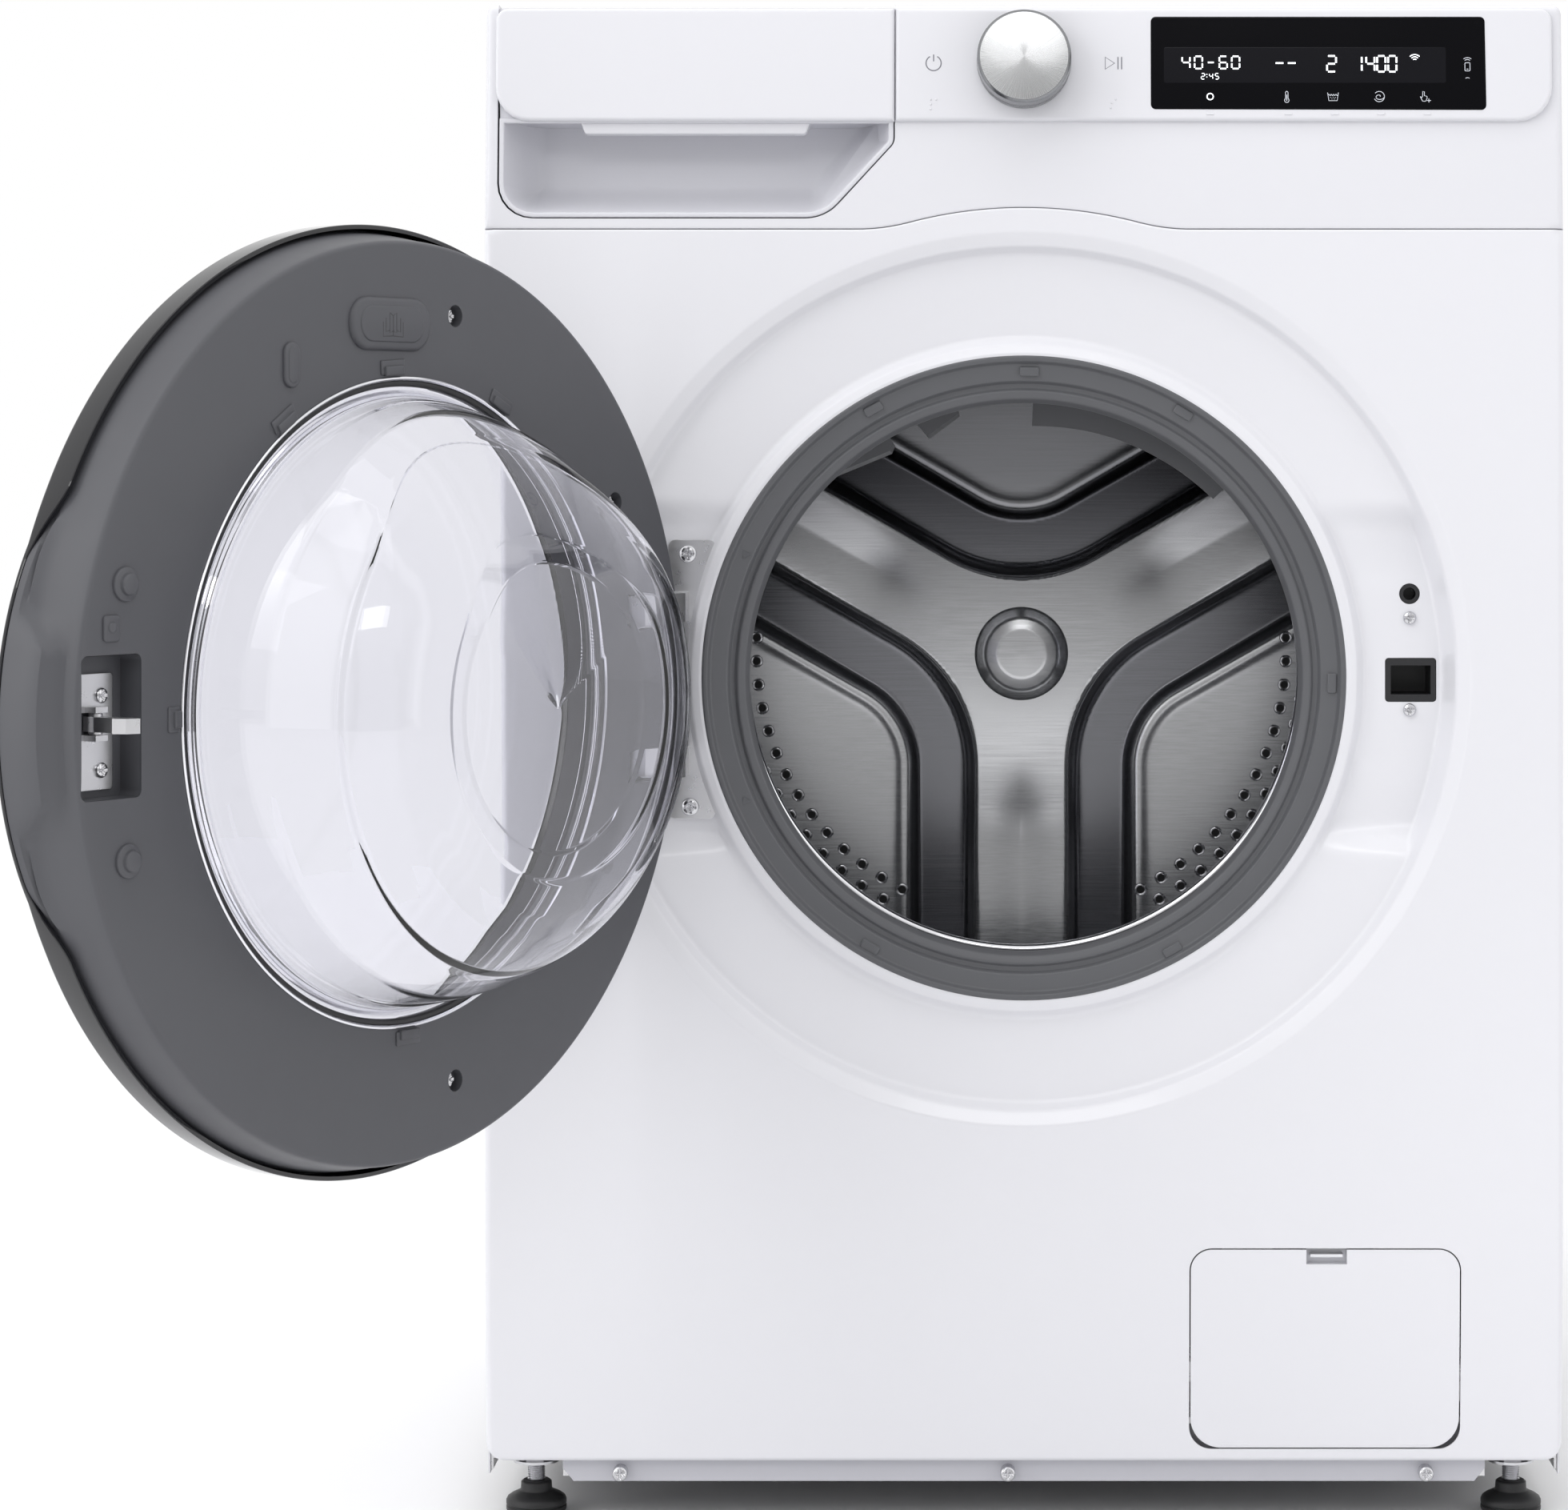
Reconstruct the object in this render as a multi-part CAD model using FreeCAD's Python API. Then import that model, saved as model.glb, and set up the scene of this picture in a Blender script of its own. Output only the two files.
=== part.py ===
"""Front load washing machine, 600 x 550 x 850 mm, stored with its door open.

Millimetres, Z up, origin on the floor under the middle of the cabinet, front towards -Y.
Every node of the assembly is one solid, or one group of like solids, in parts/NODE.step.
"""
import FreeCAD
import Part
import math
import os

V = FreeCAD.Vector

# ---------------------------------------------------------------- driving dimensions
WIDTH = 600.0
DEPTH = 550.0
HEIGHT = 850.0
HALF = WIDTH / 2
FRONT = -DEPTH / 2
BACK = DEPTH / 2
AXIS_Z = 474.0            # height of the drum axis
SEAM_Z = 724.0            # joint line between the front panel and the console
SEAM_RISE = 12.0          # how far that line arches up over the door
SHEET = 1.0               # cabinet steel
SIDE_FRONT = FRONT + 20   # front edge of the side panels
CONSOLE_BACK = -243.0     # where the worktop starts behind the console
WORKTOP_Z = 829.0         # underside of the worktop
LEAN = 4.5                # the console face leans back by this angle, degrees
GAP = 0.7                 # visible gap round doors and drawers in the skin

# recess pressed into the front panel round the door, radii about the drum axis
RING_OUTER = 248.0
RING_INNER = 240.0
DISH_FOOT = 189.0
LIP_CREST = 180.0
MOUTH = 178.5
POCKET_DEPTH = 20.0

# door, described closed and then swung open
DOOR_OPEN = 122.2         # degrees
HINGE_X = -218.0
HINGE_Y = FRONT - 19.1
DOOR_INNER_T = 7.2        # depth of the door's inner face behind the cabinet front, closed
DOOR_OUTER_T = -30.4
FRAME_R = 232.4
COVER_R = 240.9
GLASS_R = 163.0
GRIP_R = 176.6            # the hand grip bulges out on this radius
GRIP_X = 69.4
GRIP_TOP_T = -2.0
ARM_HEIGHTS = (AXIS_Z + 40.0, AXIS_Z - 46.0)
ARM_THICK = 16.0
PIN_R = 2.5

# latch in the door and the interlock it snaps into
LATCH_X = 205.0           # column of the latch plate's screws
LATCH_PIVOT = (211.0, -1.5)
LATCH_POCKET = (190.0, 229.0, AXIS_Z - 34.8, AXIS_Z + 32.0)
LATCH_FLOOR_T = -6.5
LATCH_SCREWS = (AXIS_Z + 12.8, AXIS_Z - 21.9)
LOCK_SLOT = (202.3, 231.0, AXIS_Z - 13.8, AXIS_Z + 10.8)
LOCK_PORT = (216.0, AXIS_Z + 46.7)
LOCK_SCREWS = (AXIS_Z + 33.2, AXIS_Z - 18.3)
DOOR_SCREWS = ((-37.6, AXIS_Z + 195.4), (-171.6, AXIS_Z + 98.8),
               (-171.6, AXIS_Z - 98.8), (-37.6, AXIS_Z - 195.4))
HINGE_SCREWS = ((-188.0, AXIS_Z + 69.1), (-186.7, AXIS_Z - 72.4))

# lower front: panel curve, kick plate, service hatch and pump
PANEL_BOTTOM = 37.4
CURVE_START_Z = 210.0     # below this height the front curves gently back
CURVE_R = 1659.0
KICK_SCREWS_X = (-225.5, -9.0, 224.5)
KICK_Z = 30.0
HATCH = (92.0, 243.0, 44.5, 157.6)
HATCH_R = 12.5
HATCH_FOOT_R = 17.0        # the flap's lower corners are rounder, so that it can swing down
HATCH_AXIS = (FRONT + 9.4, 47.2)
PUMP_X, PUMP_Z = 168.0, 101.0

# console, heights before it leans back
PAD_PROUD = 3.5           # the fascia pad stands this far out of the console face
PAD_Z = (784.0, 847.4)
DRAWER_SEAM_X = -72.0
DISPLAY = (70.5, 256.5, 790.5, 842.5)
KNOB_X, KNOB_Z, KNOB_R = 0.0, 817.0, 26.0
KNOB_HIGH = 21.0
TRAY_X = (-283.0, -84.0)

# back of the cabinet, (x, z)
INLET = (-230.0, 780.0)
DRAIN_EXIT = (262.0, 760.0)
GLAND = (-120.0, 790.0)
TRANSIT = [(x, z) for x in (-185.0, 185.0) for z in (340.0, 608.0)]

# tub and drum
TUB_R = 250.0
TUB_WALL = 3.5
TUB_FRONT = FRONT + 74
TUB_SPLIT = FRONT + 125
TUB_BACK = FRONT + 371
DRUM_R = 240.0
DRUM_FRONT = FRONT + 88
DRUM_MOUTH = 162.4
DRUM_BACK = FRONT + 318
DRUM_SHEET = 1.0
STAR_HALF = 29.5          # half width of the star's arms on the drum back
STAR_CORNER = 95.0
GROOVE = 38.0
STAR_T = 306.0
SECTOR_T = 318.0
GROOVE_T = 326.0
HUB_R = 31.0
SPIDER_Y = (52.1, 64.5)
SHAFT_R = 15.0
BEARING_R = 31.0
PULLEY_R = 140.0
PULLEY_FRONT = 165.0
PULLEY_WIDE = 20.0
MOTOR_X = 70.0
MOTOR_Z = 125.0
MOTOR_R = 60.0
MOTOR_PULLEY_R = 12.0
SPRING_X = 243.0
SPRING_YS = (-60.0, 60.0)
DAMPER_X = 200.0
DAMPER_YS = (-50.0, 45.0)
SUMP = (-75.0, 75.0, -145.0, 60.0, 196.0)
SUMP_EXIT = (55.0, -100.0)
HEATER_X, HEATER_Z = 25.0, 212.0

# running clearance between parts that turn or slide on each other
RUN = 0.05

FEET = {
    "front_left": (-276.0, -228.0),
    "front_right": (276.0, -228.0),
    "rear_left": (-276.0, 236.0),
    "rear_right": (276.0, 236.0),
}


# ---------------------------------------------------------------- shape helpers
def box(x0, x1, y0, y1, z0, z1):
    return Part.makeBox(x1 - x0, y1 - y0, z1 - z0, V(x0, y0, z0))


def cyl(axis, centre, radius, length):
    """Cylinder that starts at centre and runs along +axis."""
    direction = {"x": V(1, 0, 0), "y": V(0, 1, 0), "z": V(0, 0, 1)}[axis]
    return Part.makeCylinder(radius, length, V(*centre), direction)


def tube(axis, centre, outer, inner, length):
    return cyl(axis, centre, outer, length).cut(cyl(axis, centre, inner, length))


def disc(radius, y0, y1, x=0.0, z=AXIS_Z):
    return cyl("y", (x, y0, z), radius, y1 - y0)


def ring(outer, inner, y0, y1, x=0.0, z=AXIS_Z):
    return disc(outer, y0, y1, x, z).cut(disc(inner, y0, y1, x, z))


def closed_wire(points):
    return Part.makePolygon([V(*p) for p in points] + [V(*points[0])])


def prism_x(points, x0, x1):
    """Extrude a polygon of (y, z) points from x0 to x1."""
    wire = closed_wire([(x0, y, z) for y, z in points])
    return Part.Face(wire).extrude(V(x1 - x0, 0, 0))


def prism_y(points, y0, y1):
    """Extrude a polygon of (x, z) points from y0 to y1."""
    wire = closed_wire([(x, y0, z) for x, z in points])
    return Part.Face(wire).extrude(V(0, y1 - y0, 0))


def prism_z(points, z0, z1):
    """Extrude a polygon of (x, y) points from z0 to z1."""
    wire = closed_wire([(x, y, z0) for x, y in points])
    return Part.Face(wire).extrude(V(0, 0, z1 - z0))


def turned(points, x=0.0, z=AXIS_Z):
    """Turn a polygon of (radius, depth behind the cabinet front) about an axis along Y."""
    wire = closed_wire([(x + r, FRONT + t, z) for r, t in points])
    return Part.Face(wire).revolve(V(x, 0, z), V(0, 1, 0), 360)


def turned_upright(points, x, y):
    """Turn a polygon of (radius, height) about a vertical axis."""
    wire = closed_wire([(x + r, y, z) for r, z in points])
    return Part.Face(wire).revolve(V(x, y, 0), V(0, 0, 1), 360)


def fuse(shapes):
    whole = shapes[0]
    if len(shapes) > 1:
        whole = whole.fuse(shapes[1:])
    return whole.removeSplitter()


def cut_all(shape, tools):
    return shape.cut(Part.makeCompound(tools))


def spun(shape, angle, x=0.0, z=AXIS_Z):
    """Copy turned about an axis along Y, seen from the front: positive is anticlockwise."""
    copy = shape.copy()
    copy.rotate(V(x, 0, z), V(0, -1, 0), angle)
    return copy


def mirrored_x(shape):
    return shape.mirror(V(0, 0, 0), V(1, 0, 0))


def upright_edges(shape, axis, keep):
    """Straight edges along one axis whose middle satisfies keep(point)."""
    picked = []
    for edge in shape.Edges:
        if edge.Curve.TypeId != "Part::GeomLine":
            continue
        along = edge.tangentAt(edge.FirstParameter)
        if abs(getattr(along, axis)) > 0.999 and keep(edge.CenterOfMass):
            picked.append(edge)
    return picked


def rounded_box_y(x0, x1, y0, y1, z0, z1, radius):
    """Box whose four edges along Y are rounded."""
    block = box(x0, x1, y0, y1, z0, z1)
    return block.makeFillet(radius, upright_edges(block, "y", lambda p: True))


def smooth_path(points):
    """Straight runs joined by tangent arcs, each arc as large as its two runs allow."""
    points = [V(*p) for p in points]
    edges = []
    last = points[0]
    for before, corner, after in zip(points, points[1:], points[2:]):
        way_in = (corner - before).normalize()
        way_out = (after - corner).normalize()
        half_turn = way_in.getAngle(way_out) / 2
        setback = 0.45 * min((corner - before).Length, (after - corner).Length)
        radius = setback / math.tan(half_turn)
        inward = (way_out - way_in).normalize()
        middle = corner + inward * (radius / math.cos(half_turn) - radius)
        start, end = corner - way_in * setback, corner + way_out * setback
        edges.append(Part.LineSegment(last, start).toShape())
        edges.append(Part.Arc(start, middle, end).toShape())
        last = end
    edges.append(Part.LineSegment(last, points[-1]).toShape())
    return Part.Wire(edges)


def swept(points, outer, inner=0.0):
    """Round bar, or hose where inner is given, along the smooth path through the points."""
    path = smooth_path(points)
    start = V(*points[0])
    heading = V(*points[1]) - start
    bar = None
    for radius in (outer, inner):
        if radius == 0:
            continue
        circle = Part.Wire([Part.Circle(start, heading, radius).toShape()])
        solid = path.makePipeShell([circle], True, False)
        bar = solid if bar is None else bar.cut(solid)
    return bar


def pan_screw(x, y, z, head_r=4.2, head=2.4, shank_r=1.9, length=10.0):
    """Cross-recessed pan-head screw whose head faces -Y and seats on the plane y."""
    dome = Part.makeCone(head_r, head_r * 0.62, head, V(x, y, z), V(0, -1, 0))
    shank = cyl("y", (x, y, z), shank_r, length)
    slot = fuse([
        box(x - head_r * 0.55, x + head_r * 0.55, y - head - 1, y - head * 0.35, z - 0.55, z + 0.55),
        box(x - 0.55, x + 0.55, y - head - 1, y - head * 0.35, z - head_r * 0.55, z + head_r * 0.55),
    ])
    return fuse([dome, shank]).cut(slot)


def lean(shape):
    """Tip a console part back about the seam line."""
    copy = shape.copy()
    copy.rotate(V(0, FRONT, SEAM_Z), V(1, 0, 0), -LEAN)
    return copy


def swing(shape, angle=DOOR_OPEN):
    """Swing a door part open from its closed place."""
    copy = shape.copy()
    copy.rotate(V(HINGE_X, HINGE_Y, 0), V(0, 0, 1), -angle)
    return copy


# ---------------------------------------------------------------- cabinet
def seam_region(low_z, clearance):
    """Everything below the arched seam line, as a slab deeper than the front."""
    crown_r, side_r = 250.0, 110.0
    bend = math.acos(1 - SEAM_RISE / (crown_r + side_r))
    base = SEAM_Z - clearance
    run = (crown_r + side_r) * math.sin(bend)
    y0 = FRONT - 12
    crown_c = base + SEAM_RISE - crown_r
    side_c = base + side_r

    def crown(angle):
        return V(crown_r * math.sin(angle), y0, crown_c + crown_r * math.cos(angle))

    def side(sign, angle):
        return V(sign * (run - side_r * math.sin(angle)), y0, side_c - side_r * math.cos(angle))

    left, right = V(-run, y0, base), V(run, y0, base)
    edges = [
        Part.LineSegment(V(-HALF - 5, y0, base), left).toShape(),
        Part.Arc(left, side(-1, bend / 2), side(-1, bend)).toShape(),
        Part.Arc(crown(-bend), crown(0), crown(bend)).toShape(),
        Part.Arc(side(1, bend), side(1, bend / 2), right).toShape(),
        Part.LineSegment(right, V(HALF + 5, y0, base)).toShape(),
        Part.LineSegment(V(HALF + 5, y0, base), V(HALF + 5, y0, low_z)).toShape(),
        Part.LineSegment(V(HALF + 5, y0, low_z), V(-HALF - 5, y0, low_z)).toShape(),
        Part.LineSegment(V(-HALF - 5, y0, low_z), V(-HALF - 5, y0, base)).toShape(),
    ]
    return Part.Face(Part.Wire(edges)).extrude(V(0, 60, 0))


def panel_bulk(inset):
    """The front panel's outside form, shrunk by inset, as a solid reaching back to its returns."""
    top = SEAM_Z + 30
    front = FRONT + inset
    curve_c = FRONT + CURVE_R
    low = PANEL_BOTTOM + inset
    radius = CURVE_R - inset

    def on_curve(z):
        drop = CURVE_START_Z - z
        return V(-HALF + inset, curve_c - math.sqrt(radius ** 2 - drop ** 2), z)

    x0 = -HALF + inset
    back = SIDE_FRONT - 1 + inset * 5
    edges = [
        Part.LineSegment(V(x0, front, top), V(x0, front, CURVE_START_Z)).toShape(),
        Part.Arc(V(x0, front, CURVE_START_Z), on_curve((CURVE_START_Z + low) / 2), on_curve(low)).toShape(),
        Part.LineSegment(on_curve(low), V(x0, back, low)).toShape(),
        Part.LineSegment(V(x0, back, low), V(x0, back, top)).toShape(),
        Part.LineSegment(V(x0, back, top), V(x0, front, top)).toShape(),
    ]
    bulk = Part.Face(Part.Wire(edges)).extrude(V(WIDTH - 2 * inset, 0, 0))
    corner = upright_edges(bulk, "y", lambda p: p.z < low + 1)
    return bulk.makeFillet(12 - inset, corner) if corner else bulk


def round_front_edges(bulk, radius):
    edges = upright_edges(bulk, "z", lambda p: p.y < FRONT + 3)
    return bulk.makeFillet(radius, edges)


def dish_void(grow):
    """Air of the round recess in the front panel; grow is the sheet thickness."""
    tube_end = 32.0 if grow == 0 else 31.0
    points = [
        (0, -4), (RING_OUTER + grow, -4), (RING_OUTER + grow, 0), (RING_INNER + grow, 3 + grow),
        (238 + grow, 9 + grow), (DISH_FOOT, 16 + grow), (184 - grow * 0.4, 12 + grow * 1.2),
        (LIP_CREST + grow * 0.4, 11 + grow * 1.2), (MOUTH + grow, 14 + grow),
        (MOUTH + grow, tube_end), (0, tube_end),
    ]
    return turned(points)


def side_pocket(x0, x1, z0, z1, lip_r, grow):
    """Flat-floored pocket in the dish, for the hinge or the lock."""
    depth = POCKET_DEPTH + grow
    pocket = rounded_box_y(x0 - grow, x1 + grow, FRONT, FRONT + depth, z0 - grow, z1 + grow, 8)
    return pocket.common(ring(236 + grow, lip_r - grow, FRONT, FRONT + depth))


def recess_void(grow):
    return fuse([
        dish_void(grow),
        side_pocket(-238, -172, AXIS_Z - 85, AXIS_Z + 89, DISH_FOOT - 2, grow),
        side_pocket(172, 238, AXIS_Z - 81, AXIS_Z + 81, DISH_FOOT + 1, grow),
    ])


def make_front_panel():
    outer = round_front_edges(panel_bulk(0.0), 4.0)
    inner = round_front_edges(panel_bulk(SHEET), 3.0)
    skin = outer.cut(inner)
    bottom_flange = box(-HALF + 4, HALF - 4, FRONT + 16, FRONT + 30, PANEL_BOTTOM - 1, PANEL_BOTTOM + 2)
    skin = skin.cut(bottom_flange)
    skin = skin.fuse(recess_void(SHEET).cut(box(-HALF, HALF, FRONT - 20, FRONT, 0, HEIGHT)))
    skin = skin.cut(recess_void(0))
    skin = skin.common(seam_region(0, 0.25))
    hatch = rounded_box_y(HATCH[0], HATCH[1], FRONT - 5, FRONT + 15, HATCH[2], HATCH[3], HATCH_R)
    floor = FRONT + POCKET_DEPTH
    slot = rounded_box_y(LOCK_SLOT[0], LOCK_SLOT[1], floor - 5, floor + 5, LOCK_SLOT[2], LOCK_SLOT[3], 2)
    tools = [hatch, slot, cyl("y", (LOCK_PORT[0], floor - 5, LOCK_PORT[1]), 5.8, 10)]
    for z in LOCK_SCREWS:
        tools.append(cyl("y", (LOCK_PORT[0], floor - 5, z), 2.0, 10))
    for x, z in HINGE_SCREWS:
        tools.append(cyl("y", (x, floor - 5, z), 2.0, 10))
    return cut_all(skin, tools).removeSplitter()


def make_service_hatch():
    """Skin-thick flap following the panel's curve, with hinge barrels and a finger notch."""
    outer = panel_bulk(0.0)
    inner = panel_bulk(1.8)
    gap = GAP
    x0, x1, z0, z1 = HATCH[0] + gap, HATCH[1] - gap, HATCH[2] + gap, HATCH[3] - gap
    outline = rounded_box_y(x0, x1, FRONT - 5, FRONT + 12, z0, z1, HATCH_R - gap)
    foot = rounded_box_y(x0, x1, FRONT - 5, FRONT + 12, z0, z1 + 2 * HATCH_FOOT_R, HATCH_FOOT_R)
    outline = outline.common(foot)
    plate = outer.cut(inner).common(outline)
    notch = box(157.0, 179.4, FRONT - 5, FRONT + 12, HATCH[3] - 8.9, HATCH[3] + 1)
    cup = box(155.5, 180.9, FRONT + 2.6, FRONT + 9, HATCH[3] - 10.4, HATCH[3] - GAP)
    cup_void = box(157.0, 179.4, FRONT, FRONT + 7.5, HATCH[3] - 8.9, HATCH[3] + 1)
    clip = box(159.2, 177.2, FRONT + 1.4, FRONT + 7.6, HATCH[3] - 5.0, HATCH[3] - 3.4)
    barrels = [cyl("x", (x, HATCH_AXIS[0], HATCH_AXIS[1]), 1.5, 15) for x in (110.0, 210.0)]
    return fuse([plate.cut(notch), cup.cut(cup_void), clip] + barrels)


def make_side_panel():
    """Left-hand side sheet with its folded edges and the shelf that carries two springs."""
    web = box(-HALF, -HALF + SHEET, SIDE_FRONT, BACK - 5, 28, WORKTOP_Z)
    rise = HEIGHT - SEAM_Z
    lean_back = rise * math.tan(math.radians(LEAN))
    corner = prism_x([(SIDE_FRONT - 5, SEAM_Z - 1), (SIDE_FRONT + 0.5, SEAM_Z - 1),
                      (SIDE_FRONT + 0.5 + lean_back, HEIGHT), (SIDE_FRONT - 5, HEIGHT)], -HALF - 1, HALF)
    front_fold = box(-HALF, -HALF + 14, SIDE_FRONT, SIDE_FRONT + SHEET, 62, SEAM_Z - 1)
    rear_fold = box(-HALF, -HALF + 17, BACK - 13, BACK - 12, 62, WORKTOP_Z)
    shelf = box(-HALF, -228, -100, 100, 728, 730.5)
    holes = [cyl("z", (-SPRING_X, y, 720), 4.0, 20) for y in SPRING_YS]
    gussets = [prism_y([(-HALF, 728), (-232, 728), (-HALF, 680)], y, y + 2) for y in (-100, 98)]
    return fuse([cut_all(web, [corner]), front_fold, rear_fold, cut_all(shelf, holes)] + gussets)


def make_rear_panel():
    y0, y1 = BACK - 12, BACK - 11
    plate = box(-HALF + SHEET + 0.05, HALF - SHEET - 0.05, y0, y1, 62, WORKTOP_Z)
    outers = [disc(176, y0, y1 + 5)]
    inners = [disc(175, y0, y1 + 4)]
    for z0, z1 in ((110, 180), (210, 270), (680, 730)):
        outers.append(rounded_box_y(-240, 240, y0, y1 + 4, z0, z1, 12))
        inners.append(rounded_box_y(-239, 239, y0, y1 + 3, z0 + 1, z1 - 1, 11))
    panel = cut_all(fuse([plate] + outers), inners)
    holes = [cyl("y", (INLET[0], y0 - 1, INLET[1]), 15.0, 10)]
    holes.append(cyl("y", (DRAIN_EXIT[0], y0 - 1, DRAIN_EXIT[1]), 12.0, 10))
    holes.append(cyl("y", (GLAND[0], y0 - 1, GLAND[1]), 8.0, 10))
    holes += [cyl("y", (x, y0 - 1, z), 9.0, 10) for x, z in TRANSIT]
    return cut_all(panel, holes)


def make_transit_caps():
    """Plugs in the four transit bolt holes of the rear panel."""
    caps = []
    for x, z in TRANSIT:
        head = cyl("y", (x, BACK - 11, z), 14.0, 3)
        stem = cyl("y", (x, BACK - 30, z), 8.9, 19)
        hollow = cyl("y", (x, BACK - 31, z), 6.9, 19)
        caps.append(fuse([head, stem]).cut(hollow))
    return Part.makeCompound(caps)


def make_mains_gland():
    """Strain relief where the mains cord leaves the back."""
    x, z = GLAND
    head = cyl("y", (x, BACK - 11, z), 11.0, 5)
    stem = cyl("y", (x, BACK - 24, z), 7.9, 13)
    bore = cyl("y", (x, BACK - 25, z), 4.2, 20)
    return fuse([head, stem]).cut(bore)


def make_worktop():
    top = box(-HALF + 1.5, HALF - 1.5, CONSOLE_BACK, BACK, WORKTOP_Z, HEIGHT)
    top = top.makeFillet(6, upright_edges(top, "z", lambda p: p.y > 0))
    rim = [e for e in top.Edges if e.BoundBox.ZMin > HEIGHT - 0.01 and e.BoundBox.YMax > CONSOLE_BACK + 1]
    return top.makeFillet(2.0, rim)


def make_base_frame():
    """Folded steel base: rails, cross rails for the dampers, and the four foot plates."""
    rail_in = HALF - SHEET - 0.1
    side_rail = fuse([
        box(rail_in - 1.5, rail_in, SIDE_FRONT + 3, BACK - 13, 30, 60),
        box(rail_in - 40, rail_in - 1.5, SIDE_FRONT + 3, BACK - 13, 58.5, 60),
    ])
    front_rail = fuse([
        box(-258, 258, SIDE_FRONT - 1.4, SIDE_FRONT + 0.1, 27, 60),
        box(-rail_in + 1.5, rail_in - 1.5, SIDE_FRONT + 0.1, SIDE_FRONT + 38, 58.5, 60),
        box(-258, 258, SIDE_FRONT + 0.1, SIDE_FRONT + 10, 27, 28.5),
    ])
    rear_rail = fuse([
        box(-rail_in, rail_in, BACK - 14.5, BACK - 13, 30, 60),
        box(-rail_in, rail_in, BACK - 54, BACK - 14.5, 58.5, 60),
    ])
    pieces = [side_rail, mirrored_x(side_rail), front_rail, rear_rail]
    for y in DAMPER_YS:
        pieces.append(box(-rail_in + 1.5, rail_in - 1.5, y - 25, y + 25, 50, 52))
        pieces.append(box(-rail_in + 1.5, rail_in - 1.5, y - 25, y - 23.5, 40, 50))
        pieces.append(box(-rail_in + 1.5, rail_in - 1.5, y + 23.5, y + 25, 40, 50))
    for x, y in FEET.values():
        side = math.copysign(1, x)
        x0, x1 = sorted((side * (rail_in - 44), side * rail_in))
        y0 = SIDE_FRONT + 3 if y < 0 else BACK - 66
        pieces.append(box(x0, x1, y0, y0 + 50, 36, 39))
        web_x = sorted((side * (rail_in - 44), side * (rail_in - 42.5)))
        pieces.append(box(web_x[0], web_x[1], y0, y0 + 50, 39, 58.5))
    frame = fuse(pieces)
    holes = [cyl("z", (x, y, 30), 5.4, 12) for x, y in FEET.values()]
    holes += [cyl("y", (x, SIDE_FRONT - 5, KICK_Z), 2.0, 20) for x in KICK_SCREWS_X]
    return cut_all(frame, holes)


def make_kick_plate():
    y = SIDE_FRONT - 3
    plate = prism_y([(-252, 24.5), (252, 24.5), (258, 32), (258, 56), (-258, 56), (-258, 32)], y, y + 1.5)
    return cut_all(plate, [cyl("y", (x, y - 1, KICK_Z), 2.0, 4) for x in KICK_SCREWS_X])


def make_cabinet_screws():
    """Kick plate, hinge and lock screws, all the same M4 pan head."""
    floor = FRONT + POCKET_DEPTH
    screws = [pan_screw(x, SIDE_FRONT - 3, KICK_Z) for x in KICK_SCREWS_X]
    screws += [pan_screw(x, floor - 3, z) for x, z in HINGE_SCREWS]
    screws += [pan_screw(LOCK_PORT[0], floor, z) for z in LOCK_SCREWS]
    return Part.makeCompound(screws)


def make_foot(x, y):
    """Levelling foot: round pad, neck, hexagon and threaded stud."""
    pad = turned_upright([(0, 0), (15.5, 0), (17, 1.5), (17, 8), (14, 11), (9, 13.5), (7.5, 17), (0, 17)], x, y)
    hexagon = prism_z([(x + 8 * math.cos(a * math.pi / 3), y + 8 * math.sin(a * math.pi / 3))
                       for a in range(6)], 13, 19)
    stud = cyl("z", (x, y, 17), 5.0, 35)
    return fuse([pad, hexagon, stud])


def make_foot_lock_nuts():
    nuts = []
    for x, y in FEET.values():
        body = prism_z([(x + 9.8 * math.cos(a * math.pi / 3), y + 9.8 * math.sin(a * math.pi / 3))
                        for a in range(6)], 30.5, 36)
        flange = cyl("z", (x, y, 29), 13.0, 1.5)
        nuts.append(fuse([body, flange]).cut(cyl("z", (x, y, 20), 5.0 + RUN, 30)))
    return Part.makeCompound(nuts)


# ---------------------------------------------------------------- console and drawer
def drawer_outline(grow):
    """Outline of the drawer front in the console face: straight top, cut-off lower right corner."""
    points = [(DRAWER_SEAM_X, PAD_Z[1]), (DRAWER_SEAM_X, 779), (-75.5, 770), (-105, 738), (-121, 730.5),
              (-274, 730.5), (-286, 735.5), (-291.5, 749), (-292.2, PAD_Z[1])]
    wire = closed_wire([(x, FRONT - 8, z) for x, z in points])
    if grow:
        wire = wire.makeOffset2D(grow)
    return Part.Face(wire)


def drawer_slab(grow, y0, y1):
    face = drawer_outline(grow)
    face.translate(V(0, y0 - (FRONT - 8), 0))
    return face.extrude(V(0, y1 - y0, 0))


def fascia_pad(x0, x1, y0, y1):
    """Raised band along the top of the console with rounded lower outer corners."""
    pad = box(-295, 294, y0, y1, PAD_Z[0], PAD_Z[1])
    pad = pad.makeFillet(19, upright_edges(pad, "y", lambda p: p.z < 800))
    pad = pad.makeFillet(6, upright_edges(pad, "y", lambda p: p.z > 840))
    return pad.common(box(x0, x1, y0, y1, 700, 900))


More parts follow.
